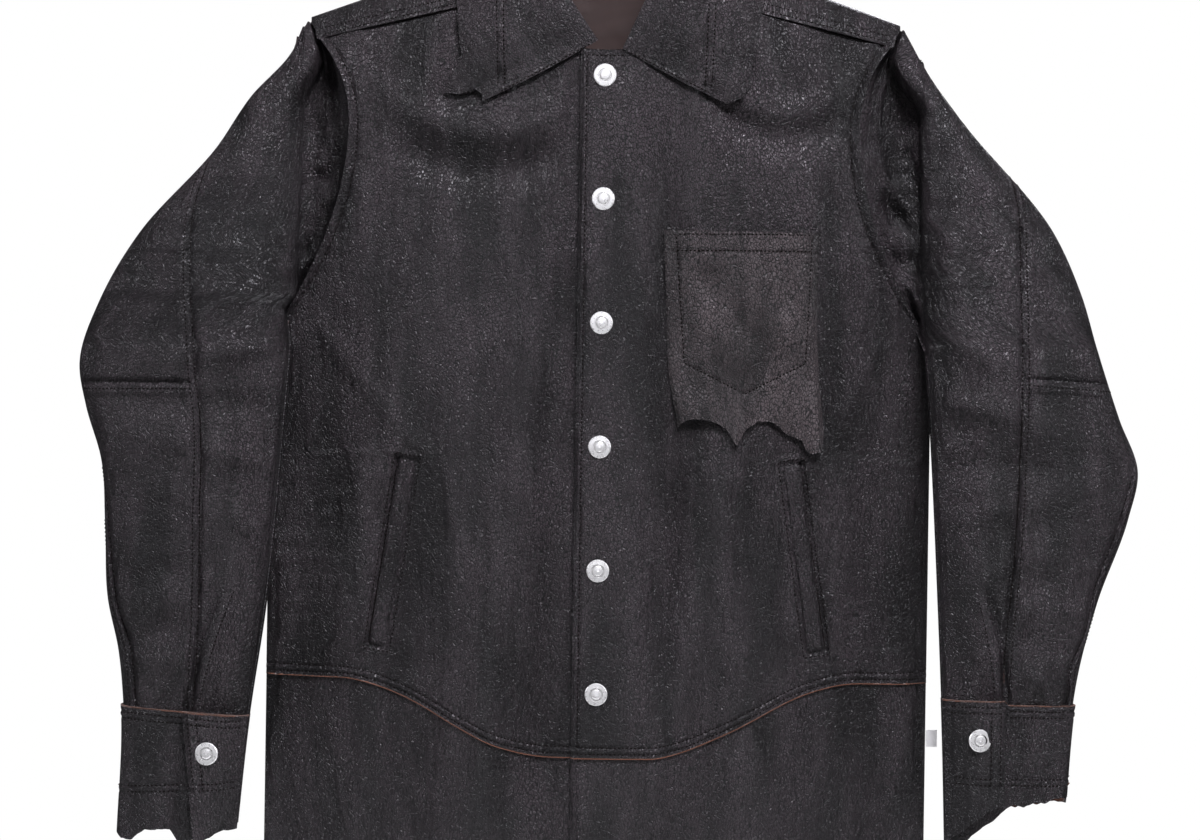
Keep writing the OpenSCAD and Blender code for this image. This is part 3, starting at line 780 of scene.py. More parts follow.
def sew_fronts():
    for s in (LEFT, RIGHT):
        rows = [[(s * x, skirt_z(x) + up) for x in np.linspace(-LAP + 4, 266, 40)] for up in (4, 9.5)]
        rows.append([(s * (arm_x(z) - 7.5), z) for z in np.linspace(-316, -98, 40)])
        place = lambda a, b: (s * welt_point(a, b)[0], welt_point(a, b)[1])
        box = [place(a, b) for a, b in ((-11.5, -82), (-11.5, 82), (10.5, 82), (10.5, -82), (-11.5, -82))]
        rows += [[box[i], box[i + 1]] for i in range(4)]
        # painted shade: the dark thread of these two rows lies end to end in the mouth's groove as the shadow of the
        # pocket's slit
        for start in (-76, -74.3):       # two rows out of step make the dark line of the pocket's mouth
            rows.append([place(7.2, b) for b in (start, 76)])
        rows.append([(s * (-LAP + 5), z) for z in np.linspace(-106, -680, 30)])
        rows.append([(s * x, float(top_z(x)) - 5) for x in (-LAP + 5, 0, 16)])
        front = SIDES[s] + "_front"
        sew(front + "_stitches", front + "_leather", rows, lambda o: open_front(o))


# ---------------------------------------------------------------- back
def make_back():
    v, u = even(150, 150)
    z = mix(BACK_SEAM, -140, v)
    a = np.arcsin(side_x(z) / HALF)
    x = HALF * np.sin(mix(-a, a, u))
    out = 2.2 * noise(x / 60, z / 260, 31) + 0.8 * noise(x / 24, z / 90, 32) + 0.2 * noise(x / 8, z / 15, 33)
    out = out * smooth(0, 40, side_x(z) - np.abs(x) + 4) * smooth(-150, -200, z) - 2.2 * smooth(-170, -153, z)
    back = sheet("back_leather", body_point(x, z, BACK, out), (0, 1, 0), uv_seed=9, uv=np.stack([x, z], -1))
    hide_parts("back_panel")
    v, u = even(46, 150)
    x = HALF * np.sin(mix(-SIDE_ANGLE, SIDE_ANGLE, u))
    z = mix(hem_z(x) + ragged_hem(x, 41), BACK_SEAM + 8, v)
    out = 2.2 * noise(x / 60, z / 260, 31) * smooth(0, 40, HALF - np.abs(x))
    p = body_point(x, z, BACK, out - 1.9)
    skirt = sheet("back_skirt_leather", p, (0, 1, 0), uv_seed=10, uv=np.stack([x, z], -1))
    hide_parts("back_skirt")
    for obj in (back, skirt):
        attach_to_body(obj, "shell")


def turn_at(x, z, side):
    r = ridge_round(x)
    h = (ridge_z(x) - z) / r
    return side * np.where(h < 1, np.degrees(np.arccos(1 - np.clip(h, 0, 1))), 90 + (h - 1) * r)


def shoulder(x, turn, off=0.0):
    r = ridge_round(x) + off
    past = np.maximum(0, np.abs(turn) - 90)
    t = np.radians(np.clip(turn, -90, 90))
    z = ridge_z(x) + off - r * (1 - np.cos(t)) - past
    belly = np.maximum(0, 1 - (x / HALF) ** 2) ** 0.65
    return np.stack([x, MID + (half_depth(z) * belly + off) * np.sin(t), z], -1)


def make_yoke():
    """The yoke runs from the front seams over both shoulders and across the back. Half of its outline, from the
    front seam over the shoulder to the centre back, is given at seven marks along the neck and along the rim."""
    marks = np.linspace(0, 6, 91)
    neck_x = curve(marks, list(enumerate([80, 78, 76, 70, 56, 28, 0])))
    neck_turn = curve(marks, list(enumerate([-84, -40, 4, 32, 52, 60, 60])))
    rim_z = np.array([-86, -79, -77, -100, YOKE_SEAM])
    rim_x = np.r_[arm_x(rim_z), 107, 0]
    rim_turn = np.r_[[turn_at(rim_x[i], rim_z[i], side) for i, side in enumerate((-1, -1, 1, 1, 1))], 0, 0]
    rim_x = np.interp(marks, range(7), rim_x)
    rim_turn = np.interp(marks, range(7), rim_turn)
    rim_turn[60:] = turn_at(rim_x[60:], np.full(31, float(YOKE_SEAM)), BACK)
    v = np.linspace(0, 1, 60)[:, None]
    x = mix(neck_x[None], rim_x[None], v)
    turn = mix(neck_turn[None], rim_turn[None], v)
    turn[:, 0] = turn_at(x[:, 0], top_z(x[:, 0]) - 2, FRONT)
    turn[:, 1:6] = mix(turn[:, 0:1], turn[:, 6:7], np.arange(1, 6)[None] / 6)
    half = shoulder(x, turn, 1.4)
    other = half[:, ::-1] * np.array([-1, 1, 1])
    whole = np.concatenate([half, other[:, 1:]], axis=1)
    past = np.maximum(0, np.abs(turn) - 90)
    girth = np.sign(turn) * (48 * np.radians(np.minimum(np.abs(turn), 90)) + past)
    flat = np.stack([whole[..., 0], np.concatenate([girth, girth[:, -2::-1]], axis=1)], -1)
    obj = sheet("yoke_leather", whole, ("from", (0, MID, -300)), uv_seed=11, uv=flat)
    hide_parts("shoulder_yoke")
    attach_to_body(obj, "shell")


# ---------------------------------------------------------------- sleeves
OUTER = {
    LEFT: [(-760, 386), (-711, 388), (-604, 399), (-550, 413), (-481, 437), (-442, 444), (-399, 428), (-340, 409),
           (-297, 397), (-244, 374), (-158, 304), (-114, 272), (-75, 250)],
    RIGHT: [(-760, 392), (-647, 390), (-600, 395), (-560, 404), (-500, 407), (-443, 411), (-400, 424), (-366, 430),
            (-315, 416), (-255, 384), (-184, 324), (-138, 295), (-106, 266), (-75, 250)],
}
INNER = {
    LEFT: [(-760, 292), (-668, 289), (-527, 282), (-417, 275), (-318, 268), (-110, 264)],
    RIGHT: [(-760, 298), (-655, 288), (-567, 276), (-425, 263), (-318, 256), (-110, 252)],
}
SEAM = {                 # the seam down the front of each sleeve, as (z, distance from the centre)
    LEFT: [(-660, 334), (-630, 334.5), (-590, 336), (-526, 340.5), (-457, 343.5), (-370, 345), (-276, 344),
           (-232, 344), (-194, 339)],
    RIGHT: [(-660, 332), (-630, 330.5), (-583, 328), (-489, 327), (-411, 327), (-380, 331), (-333, 335),
            (-286, 339), (-242, 339), (-185, 327)],
}
REAR_SEAM = {            # the seam that shows beside the outer edge below the elbow
    LEFT: [(-660, 386), (-629, 388), (-601, 391), (-579, 401), (-538, 409.5), (-494, 425), (-446, 438.5)],
    RIGHT: [(-660, 378), (-631, 380.5), (-600, 384), (-563, 395.5), (-522, 401), (-474, 406.5), (-431, 414.5)],
}
PLEAT = {LEFT: [(-630, 334), (-580, 326), (-532, 314)], RIGHT: [(-645, 332), (-600, 321), (-546, 303)]}
ELBOW_SEAM = {LEFT: [(345, -369.5), (420, -373.5)], RIGHT: [(331, -382), (424, -383)]}
ELBOW = {LEFT: -425, RIGHT: -385}
# how far above the elbow, how steep and how high
ELBOW_WRINKLES = [(62, -75, 4.0), (24, -34, 5.2), (-12, 6, -4.4), (-44, 40, 4.8), (-88, 72, 3.4)]
SPLIT = -395             # the height that parts each sleeve's mesh in two, between its two bends


def sleeve_b(z):
    return curve(z, [(-760, 21), (-700, 22), (-640, 25), (-560, 31), (-420, 37), (-250, 36), (-150, 30)])


def sleeve_y(z):
    return MID + curve(z, [(-760, -42), (-560, -40), (-330, -38), (-250, -24), (-150, -6)])


def seam_relief(distance, width=8):
    """Profile across a lapped seam: 0 on one side, a raised lap with a stitched groove on the other."""
    lap = smooth(-0.6, 0.9, distance) * smooth(width + 4, width - 2, distance)
    return 1.8 * lap - 2.8 * bell(distance + 1.8, 2.4) - 0.9 * bell(distance - 3.4, 1.5)


def sleeve_folds(s, z, x, front):
    """Wrinkles and seams of a sleeve, in millimetres outwards."""
    xi, xo = curve(z, INNER[s]), curve(z, OUTER[s])
    t = np.clip((x - xi) / (xo - xi), 0, 1)
    out = 1.8 * noise(t * 2.6 + s, z / 75, 51 + s + front) + 0.9 * noise(t * 6, z / 32, 54 + s + front)
    out = out + 0.22 * noise(t * 18, z / 9, 57 + front)
    out = 1.3 * out
    if front:
        for dz, slope, amount in ELBOW_WRINKLES:
            centre = ELBOW[s] + dz + slope * (t - 0.5) * 0.9
            out = out + amount * bell(z - centre, 9 + 10 * t) * smooth(1.0, 0.3, t) * smooth(-0.1, 0.12, t)
        for dz, amount in ((30, 2.6), (-6, 3.8), (-34, -3.2), (-62, 3.5)):
            wrinkle = amount * bell(z - (-560 + dz + 34 * (1 - t)), 11)
            out = out + wrinkle * smooth(0.25, 0.6, t) * smooth(1, 0.7, t)
        out = out * mix(0.35, 1, smooth(1, 12, np.abs(x - curve(z, SEAM[s]))))
        out = out + seam_relief(x - curve(z, SEAM[s])) * smooth(-180, -200, z)
        out = out + seam_relief(x - curve(z, REAR_SEAM[s]), 6) * smooth(-425, -450, z)
        (x0, z0), (x1, z1) = ELBOW_SEAM[s]
        line = z0 + (z1 - z0) * (x - x0) / (x1 - x0)
        out = out + seam_relief(line - z, 7) * smooth(x0, x0 + 4, x)
        pleat = x - curve(z, PLEAT[s])
        deep = smooth(-532, -556, z) if s == LEFT else smooth(-546, -570, z)
        out = out + deep * (3.2 * bell(pleat + 6, 7) * 0.8 - 3.4 * bell(pleat - 3, 3.2))
    return out * smooth(0, 0.06, t) * smooth(1, 0.96, t)


def sleeve_rows(s, z):
    """One level slice of a sleeve for each height in z, from the front of the armhole round to its back."""
    z = z[:, None]
    arm = arm_x(z)
    open_part = smooth(-352, ARM_LOW, z)
    xi, xo = curve(z, INNER[s]), curve(z, OUTER[s])
    above = z > ARM_LOW
    xa = np.where(above, arm - 1.5, mix(xi, arm - 1.5, open_part))
    fold = np.clip(mix(xi, xa + 0.22 * (xo - xa), smooth(-150, -95, z)), xa, None)
    yc, b = sleeve_y(z), sleeve_b(z) * smooth(-72, -190, z) ** 0.5
    limit = np.minimum(arm, HALF - 3)
    ends = []
    for side, gap in ((FRONT, 2), (BACK, -2)):
        edge = body_y(limit, z, side) + gap
        ends.append(np.where(above, edge, mix(yc, edge, open_part)))
    ya, yb = ends
    q = np.linspace(0, 1, 30)[None, :-1]
    vx = mix(xa, fold, q)
    depth = 13 * smooth(-80, -130, z) * smooth(-350, -300, z)
    base = mix(ya, yc + 6, smooth(0, 1, q))
    crumple = 6.5 * noise(q * 2.4 + z / 55, z / 21, 61 + s) + 2.2 * noise(q * 5, z / 9, 63 + s)
    crumple = crumple * np.sin(math.pi * q) * smooth(-350, -300, z) * smooth(-100, -180, z)
    vy = base + depth * np.sin(math.pi * q) ** 0.8 + crumple
    a = np.linspace(0, math.pi, 112)[None]
    t = (1 - np.cos(a)) / 2
    fx = mix(fold, xo, t)
    fy = yc + 6 * smooth(0.2, 0, t) * open_part - b * np.sin(a) ** 0.72 - sleeve_folds(s, z, fx, 1)
    a = np.linspace(0, math.pi, 80)[None, 1:]
    t = (1 - np.cos(a)) / 2
    bx = mix(xo, xa, t)
    by = mix(yc, yb, t) + b * np.sin(a) ** 0.75 * mix(1, 0.75, t) + sleeve_folds(s, z, bx, 0)
    x = np.concatenate([vx + 0 * z, fx, bx], 1)
    y = np.concatenate([vy, fy, by], 1)
    return np.stack([s * x, y, z + 0 * x], -1)


def swing_weight(x, y, z):
    across = np.abs(x) - arm_x(z)
    return 1 - (1 - smooth(2, 150, across)) * (1 - smooth(ARM_LOW, SPLIT, z))


def elbow_weight(x, y, z):
    return smooth(SPLIT - 2, -486, z)


def make_sleeve(s):
    name = SIDES[s]
    bottom = CUFF_TOP[s] - 8
    top = sleeve_rows(s, np.linspace(-75.5, SPLIT, 190))
    low = sleeve_rows(s, np.linspace(SPLIT, bottom, 170))
    hide = [MATERIALS["leather"]] * 2
    in_top, in_low = ("from", (s * 300, MID - 30, -250)), ("from", (s * 340, MID - 40, -500))
    upper = sheet(name + "_sleeve_upper", top, in_top, materials=hide, uv_seed=13 + s)
    lower = sheet(name + "_sleeve_lower", low, in_low, materials=hide, uv_seed=13 + s)
    panels = ("front", "outer", "back")
    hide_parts(name + "_sleeve_head", *[name + "_upper_sleeve_" + k for k in panels])
    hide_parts(*[name + "_lower_sleeve_" + k for k in panels])
    share_normals(upper, lower, top, low)
    up = lambda o: bend(o, swing_weight)
    down = lambda o: bend(o, elbow_weight)
    up(upper)
    down(lower)
    def seam(table, z0, z1, shift):
        return [(s * (float(curve(z, table)) + shift), z) for z in np.linspace(z0, z1, 40)]

    (x0, z0), (x1, z1) = ELBOW_SEAM[s]
    # the two rows at -1.6, one started 1.5 mm after the other, lay dark thread nearly end to end in the seam's
    # groove: painted shade of the groove
    starts = ((-200, 3.2), (-198, -1.6), (-196.5, -1.6))
    rows = [seam(SEAM[s], start, SPLIT + 1, shift) for start, shift in starts]
    rows.append([(s * (x0 + 5), z0 - 3.4), (s * x1, z1 - 3.4)])
    sew(name + "_upper_sleeve_stitches", upper.name, rows, up)
    # as above, the two rows at -1.6 out of step make a nearly continuous dark line of thread in the seam's groove:
    # painted shade of the groove
    rows = [seam(SEAM[s], SPLIT - 1, bottom + 9, 3.2), seam(SEAM[s], SPLIT - 1, bottom + 8, -1.6),
            seam(SEAM[s], SPLIT - 2.5, bottom + 8, -1.6), seam(REAR_SEAM[s], -450, bottom + 8, -1.6),
            seam(REAR_SEAM[s], -450, bottom + 9, 3.2), seam(PLEAT[s], -550, bottom + 16, -7)]
    sew(name + "_lower_sleeve_stitches", lower.name, rows, down)
    for part, grid, attach in (("upper", top[8:], up), ("lower", low[:-8], down)):
        inner = grid[::3, ::3]
        normal = grid_normals(inner)
        middle = inner.mean(1, keepdims=True)
        normal *= np.sign(np.sum(normal * (inner - middle)))
        tube = smooth(ARM_LOW, -352, inner[..., 2:])
        hung = mix(inner - 3.4 * normal, middle + 0.86 * (inner - middle), tube)
        cloth = lining_sheet(name + "_" + part + "_lining_cloth", hung, ("from", tuple(middle.mean(0)[0])))
        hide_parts(name + "_" + part + "_lining")
        attach(cloth)


def share_normals(first, second, a, b):
    """Gives two pieces of one surface the same shading along the row where they meet."""
    both = np.concatenate([a[-2:], b[1:2]])
    n = grid_normals(both)[1]
    for obj, row in ((first, len(a) - 1), (second, 0)):
        mesh = obj.data
        count, cols = len(mesh.vertices), a.shape[1]
        normals = np.zeros(count * 3, np.float32)
        mesh.vertices.foreach_get("normal", normals)
        normals = normals.reshape(-1, 3)
        at = slice(row * cols, (row + 1) * cols)
        sign = np.sign(np.sum(n * normals[at], 1, keepdims=True))
        normals[at] = n * sign
        corner = np.zeros(len(mesh.loops), np.int32)
        mesh.loops.foreach_get("vertex_index", corner)
        mesh.normals_split_custom_set(normals[corner])


# ---------------------------------------------------------------- cuffs
CUFF_SEAM = {LEFT: [(280, -632), (334, -631), (336, -634), (400, -635.5)],
             RIGHT: [(280, -654.5), (335, -649.5), (392, -646)]}
CUFF_RAW = {LEFT: [(283, -757), (293, -754), (303, -748), (315, -737), (327, -729), (337, -719), (343, -716),
                   (352, -718), (360, -714), (370, -715), (378, -711), (387, -711), (400, -709)],
            RIGHT: [(285, -748), (300, -747), (322, -754), (336, -757), (344, -746), (365, -747), (372, -751),
                    (377, -756), (386, -755), (396, -747)]}
FLAP_RAW = {LEFT: [(283, -752), (293, -745), (303, -736), (315, -726), (325, -719), (331, -717), (338, -716)],
            RIGHT: [(285, -747), (300, -746.5), (311, -750), (321, -754), (330, -757), (338, -758)]}
CUFF_STITCH = {LEFT: (-695, 0.02), RIGHT: (-709.5, 0.05)}    # height of the lower row, and how much it slopes
CUFF_STEPS = np.r_[0, knots(0.03, 0.10, (4, 62, 12))[1:-1], 0.988, 1]
FLAP_INNER, FLAP_OUTER = 288, 334.5
FLAP_LEAN = {LEFT: 0.0, RIGHT: 0.1}


def cuff_surface(s, x, z, off):
    """The front of a cuff: x is the distance from the centre."""
    xi, xo = curve(z, INNER[s]) - off, curve(z, OUTER[s]) + off
    c = np.clip(2 * (x - xi) / (xo - xi) - 1, -1, 1)
    flat = np.maximum(0, 1 - c * c) ** 0.36
    waves = 0.9 * noise(x / 30, z / 34, 101 + s) + 0.35 * noise(x / 9, z / 12, 103 + s)
    return sleeve_y(z) - (sleeve_b(z) + off) * flat - waves * flat


def cuff_relief(s, x, z, top):
    """Stitch grooves round the seam and above the raw edge."""
    row, tilt = CUFF_STITCH[s]
    low = z - (row - tilt * (x - 340))
    out = -0.45 * bell(top - z - 5, 1.1) - 0.45 * bell(top - z - 10, 1.1) + 0.4 * bell(top - z - 7.5, 1.6)
    return out - 0.45 * bell(low, 1.1) - 0.45 * bell(low + 5, 1.1) + 0.4 * bell(low + 2.5, 1.6)


def make_cuff(s):
    name = SIDES[s]
    seam, raw = CUFF_SEAM[s], CUFF_RAW[s]
    v, u = lattice(CUFF_STEPS, np.linspace(0, 1, 200))
    turn = mix(-math.pi * 0.985, math.pi * 0.985, u)
    t = (1 + np.cos(turn)) / 2
    back = turn > 0
    xi, xo = curve(-700 + 0 * t, INNER[s]) - 2.2, curve(-700 + 0 * t, OUTER[s]) + 2.2
    x0 = mix(xi, xo, t)
    top = np.interp(x0, *zip(*seam))
    low = np.interp(x0, *zip(*raw)) + 0.5 * noise(x0 / 3, x0 * 0, 105)
    low = low + np.where(back, {LEFT: -6, RIGHT: 4}[s], 0)
    z = mix(low, top, v)
    x = mix(curve(z, INNER[s]) - 2.2, curve(z, OUTER[s]) + 2.2, t)
    off = 2.2 + cuff_relief(s, x, z, top)
    front = cuff_surface(s, x, z, off)
    y = np.where(back, 2 * sleeve_y(z) - cuff_surface(s, x, z, 2.2), front)
    inside = ("from", (s * 340, sleeve_y(-700), -700))
    band = sheet(name + "_cuff_leather", np.stack([s * x, y, z], -1), inside, uv_seed=31 + s, raw="last")
    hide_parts(name + "_cuff")
    ride = lambda body: lambda o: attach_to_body(o, name + body)
    ride("_lower_sleeve")(band)
    v, u = lattice(CUFF_STEPS, knots(0.1, 0.12, (8, 40, 12)))
    x0 = mix(FLAP_INNER, FLAP_OUTER, u)
    top = np.interp(x0, *zip(*seam)) + 0.6
    low = np.interp(x0, *zip(*FLAP_RAW[s])) + 0.5 * noise(x0 / 3, x0 * 0, 106)
    z = mix(low, top, v)
    rim = lambda z: FLAP_OUTER + FLAP_LEAN[s] * (z + 680)
    x = mix(np.maximum(curve(z, INNER[s]) - 2, FLAP_INNER - 6), rim(z), u)
    close = smooth(0, 16, x - curve(z, INNER[s]))
    edge = rim(z) - x
    side = -0.45 * bell(edge - 4, 1.1) - 0.45 * bell(edge - 11.5, 1.1) - 3.2 * (1 - smooth(0, 7, edge)) ** 2
    row, tilt = CUFF_STITCH[s]
    out = 4.4 + 5.3 * close + cuff_relief(s, x, z, top) + side * smooth(-10, -4, z - row)
    p = np.stack([s * x, cuff_surface(s, x, z, out) - 0.4, z], -1)
    flap = sheet(name + "_cuff_flap_leather", p, (0, -1, 0), wall=1.8, uv_seed=33 + s, raw="last")
    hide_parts(name + "_cuff_flap")
    ride("_cuff_flap")(flap)

    def under_seam(drop, x0, x1):
        return [(s * x, float(np.interp(x, *zip(*seam))) - drop) for x in np.linspace(x0, x1, 14)]

    def level(drop, x0, x1):
        return [(s * x, row - drop - tilt * (x - 340)) for x in (x0, (x0 + x1) / 2, x1)]

    down = lambda inset: [(s * (rim(z) - inset), z) for z in np.linspace(CUFF_TOP[s] - 6, row - 4, 12)]
    rows = [under_seam(d, 338, 385) for d in (5, 10)] + [level(d, 340, 384) for d in (0, 5)]
    sew(name + "_cuff_stitches", band.name, rows, ride("_lower_sleeve"))
    rows = [under_seam(d, 291, 331) for d in (4.5, 9.5)] + [level(d, 295, 324) for d in (0, 5)]
    sew(name + "_cuff_flap_stitches", flap.name, rows + [down(i) for i in (4, 11.5)], ride("_cuff_flap"))


# ---------------------------------------------------------------- collar
ROLL_BACK = [(47, -52, -28), (62, -22, 0), (58, 12, 16), (32, 38, 21), (0, 44, 22)]
ROLL = {LEFT: [(14, -60, -101), (30, -66, -66)] + ROLL_BACK,
        RIGHT: [(6, -57, -94), (27, -66, -64)] + ROLL_BACK}
# The raw edge, from the stitched point of the leaf up and round to the centre back
RAW = {LEFT: [(101, -144), (112, -140), (120, -130), (121, -116), (126, -93), (127, -80), (129, -60)],
       RIGHT: [(100, -145), (101, -139), (107, -135), (114, -137), (120, -139.5), (132, -138), (127, -129),
               (119, -107), (121, -95), (122, -80), (124, -61)]}
RAW_BACK = [(133, -8, -22), (112, 38, -38), (62, 60, -48), (0, 64, -50)]


def make_collar(s):
    """Half of the collar, from the end at the front to the centre back."""
    name = SIDES[s]
    t, v = lattice(np.r_[np.linspace(0, 0.25, 50)[:-1], np.linspace(0.25, 1, 60)[:-1], np.linspace(1, 2, 60)],
                   knots(0.03, 0.02, (5, 84, 5)))
    roll = path(ROLL[s], 600)
    front_raw = resample(np.array([(x, 0, z) for x, z in RAW[s]], float), 300)
    back_raw = path([(RAW[s][-1][0], -46, RAW[s][-1][1])] + RAW_BACK, 300)
    on_front = t <= 1
    f, g = np.clip(t, 0, 1), np.clip(t - 1, 0, 1)
    a = np.where(on_front[..., None], point_at(roll, 0.34 * f ** 0.9), point_at(roll, 0.34 + 0.66 * g))
    b = np.where(on_front[..., None], point_at(front_raw, f), point_at(back_raw, g))
    jag = 0.8 * noise(t * 30, t * 0, 111 + s)
    x, z = mix(a[..., 0], b[..., 0] + jag, v), mix(a[..., 2], b[..., 2], v)
    bow = np.sin(math.pi * v)
    back = smooth(1.25, 1.75, t)
    z = z + 9 * bow * back
    z = z - 1.6 * bow * (1 - smooth(0, 0.12, f)) * on_front
    # the leaf lies on the front, and stands off it at the fold
    low = {LEFT: lift(LEFT, x) * 0.8, RIGHT: 0 * x}[s]
    cover = body_y(x, z, FRONT, 3.6 + low + front_folds(s * x, z) * 0.6)
    roundness = (1 - smooth(0, 0.5, v)) ** 2
    stand = 7.5 * smooth(0.02, 0.5, f) * np.sin(math.pi * np.clip(v, 0, 1) ** 0.8) ** 0.8
    leaf = cover - stand + roundness * (MID + a[..., 1] - cover) * 0.75
    free = MID + mix(a[..., 1], b[..., 1] + 0 * v, v) + (back * 9 - 4 * (1 - back)) * bow
    y = mix(leaf, free, smooth(1.05, 1.45, t))
    point = RAW[s][0]
    edge_stitch = from_line(x, z, (ROLL[s][0][0] + 6, ROLL[s][0][2] - 1), (point[0] - 10, point[1] + 9.5))
    double = np.minimum(np.abs(x - stitch_x(z)), np.abs(x - stitch_x(z) + 5.5))
    groove = -0.5 * bell(double, 1.2) * on_front + 0.6 * bell(x - stitch_x(z) + 2.7, 1.8) * on_front
    small = 0.7 * noise(x / 16, z / 14, 113 + s) + 0.3 * noise(x / 6, z / 6, 115 + s)
    raw_wave = smooth(88, 118, x) * (1.6 * noise(x / 15, z / 17, 117 + s) + 1.2) * on_front
    y = y - groove + 0.45 * bell(edge_stitch, 1.3) * on_front - small * np.sin(math.pi * v) ** 0.3 - raw_wave
    p = np.stack([s * x, y, z], -1)
    obj = sheet(name + "_collar_leather", p, (0, -1, 0), wall=2.0, uv_seed=36 + s, level=False)
    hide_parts(name + "_collar_point", *(["collar_fall"] if s == LEFT else []))
    open_front(obj)
    line = [(s * (ROLL[s][0][0] + 6), ROLL[s][0][2] - 3), (s * (RAW[s][0][0] - 14), RAW[s][0][1] + 8)]
    rows = [[(s * (float(stitch_x(z)) - d), z) for z in np.linspace(-62, -131, 12)] for d in (0, 5.5)] + [line]
    sew(name + "_collar_stitches", obj.name, rows, lambda o: open_front(o))


def stitch_x(z):
    """The double row of stitches that runs up each collar leaf."""
    return 88 + 0.03 * (z + 131)


# ---------------------------------------------------------------- lining of the back, and stitching behind
def make_linings():
    v, u = even(120, 100)
    z = mix(-672, -16, v)
    neck = mix(72, 236, np.clip((-16 - z) / 59, 0, 1))
    wide = np.where(z > -75, neck, np.minimum(side_x(z) - 9, 262))
    x = wide * np.sin(mix(-math.pi / 2, math.pi / 2, u))
    folds = 1.6 * noise(x / 30, z / 60, 121)
    folds = folds + 1.4 * noise(x / 15 + z / 40, z / 18, 122) * smooth(-160, -90, z)
    inside = 5.5 + np.abs(folds)
    p = np.stack([x, body_y(x, z, BACK) - inside, z], -1)
    cloth = lining_sheet("back_lining_cloth", p, (0, 1, 0))
    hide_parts("back_lining")
    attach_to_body(cloth, "shell")


def sew_back():
    shell = lambda o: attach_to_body(o, "shell")
    front = [[(s * x, float(top_z(x)) + up) for x in np.linspace(84, 236, 12)]
             for s in (LEFT, RIGHT) for up in (2.2, 8)]
    sew("yoke_front_stitches", "yoke_leather", front, shell)
    arms = [[(s * (arm_x(z) - 7.5), z) for z in np.linspace(-310, -160, 24)] for s in (LEFT, RIGHT)]
    hem = [[(x, BACK_SEAM + up) for x in np.linspace(-264, 264, 10)] for up in (4, 9.5)]
    sew("back_stitches", "back_leather", arms + hem, shell, side=BACK)
    yoke = [[(x, YOKE_SEAM + up) for x in np.linspace(-206, 206, 12)] for up in (4, 9.5)]
    sew("yoke_back_stitches", "yoke_leather", yoke, shell, side=BACK)


def make_body():
    for s in (LEFT, RIGHT):
        make_front(s)
        make_facing(s)
        make_skirt(s)
        make_welt(s)
        make_sleeve(s)
        make_cuff(s)
        make_collar(s)
    make_back()
    make_yoke()
    make_chest_pocket()
    make_linings()
    sew_fronts()
    sew_back()


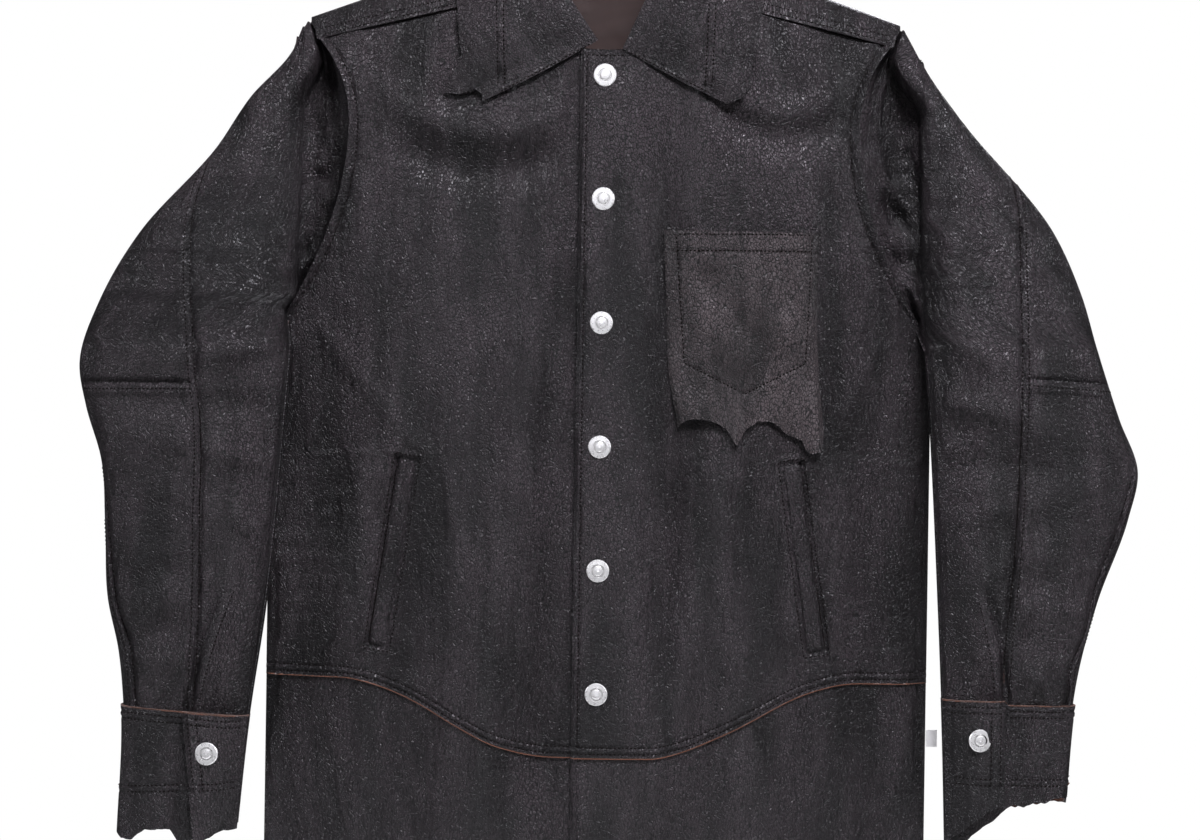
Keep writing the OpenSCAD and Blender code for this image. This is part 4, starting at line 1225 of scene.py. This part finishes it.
# ---------------------------------------------------------------- stage, lights and camera
def make_stage():
    bpy.ops.mesh.primitive_circle_add(vertices=128, radius=0.85, fill_type="NGON", location=(0, 0, -1.02))
    floor = bpy.context.object
    floor.name = "floor"
    mat, shader, _, _ = node_tools("floor")
    shader.inputs["Base Color"].default_value = (0.82, 0.82, 0.81, 1)
    shader.inputs["Roughness"].default_value = 0.8
    floor.data.materials.append(mat)
    world = bpy.data.worlds.new("studio")
    bpy.context.scene.world = world
    world.use_nodes = True
    nodes, links = world.node_tree.nodes, world.node_tree.links
    background = nodes["Background"]
    background.inputs["Color"].default_value = (1, 1, 1, 1)
    # the surroundings are brighter overhead, and the camera sees plain white
    sky = nodes.new("ShaderNodeTexCoord")
    height = nodes.new("ShaderNodeSeparateXYZ")
    links.new(sky.outputs["Generated"], height.inputs[0])
    level = nodes.new("ShaderNodeMapRange")
    level.inputs["From Min"].default_value = -0.5
    level.inputs["From Max"].default_value = 0.9
    level.inputs["To Min"].default_value = 0.02
    level.inputs["To Max"].default_value = 0.08
    links.new(height.outputs["Z"], level.inputs["Value"])
    ray = nodes.new("ShaderNodeLightPath")
    seen = nodes.new("ShaderNodeMath")
    seen.operation = "MAXIMUM"
    links.new(level.outputs[0], seen.inputs[0])
    links.new(ray.outputs["Is Camera Ray"], seen.inputs[1])
    links.new(seen.outputs[0], background.inputs["Strength"])


def area_light(name, place, aim, size, power, colour):
    data = bpy.data.lights.new(name, "AREA")
    data.shape = "RECTANGLE"
    data.size, data.size_y = size
    data.energy = power
    data.color = colour
    obj = bpy.data.objects.new(name, data)
    bpy.context.scene.collection.objects.link(obj)
    obj.location = place
    obj.rotation_euler = (Vector(aim) - Vector(place)).to_track_quat("-Z", "Y").to_euler()


def make_lights():
    cool = (0.93, 0.93, 1.0)
    area_light("key", (0.55, -1.6, 1.45), (0, -0.05, -0.3), (1.1, 0.55), 110, cool)
    area_light("front", (-0.3, -5.2, 0.7), (0, -0.05, -0.4), (3.0, 2.0), 22, cool)
    area_light("left", (-1.9, -0.6, 0.1), (0, 0, -0.4), (0.35, 1.4), 12, cool)
    area_light("right", (1.9, -0.6, 0.2), (0, 0, -0.4), (0.35, 1.4), 12, cool)
    area_light("rear", (0.3, 2.2, 1.0), (0, 0, -0.4), (1.4, 1.0), 60, cool)


VIEW_WIDTH = 0.984       # metres across the view, at the plane of the fronts
VIEW_PLANE, VIEW_HEIGHT = -0.088, -0.406
TILT = -0.85             # degrees that the view leans


def make_camera():
    data = bpy.data.cameras.new("camera")
    data.lens = 85
    data.sensor_width = 36
    cam = bpy.data.objects.new("camera", data)
    bpy.context.scene.collection.objects.link(cam)
    cam.location = (0, VIEW_PLANE - VIEW_WIDTH * data.lens / data.sensor_width, VIEW_HEIGHT)
    cam.rotation_euler = (math.radians(90), math.radians(TILT), 0)
    bpy.context.scene.view_settings.view_transform = "Standard"
    bpy.context.scene.camera = cam


def dress_cad():
    """Gives the CAD pieces that stay in view their materials."""
    for n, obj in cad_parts.items():
        key = "cloth" if "tab" in n else "leather"
        if "snap" in n or n.endswith(("_cap", "_stud")):
            key = "metal"
        for slot in obj.material_slots:
            slot.material = MATERIALS[key]


make_body()
dress_cad()
make_stage()
make_lights()
make_camera()
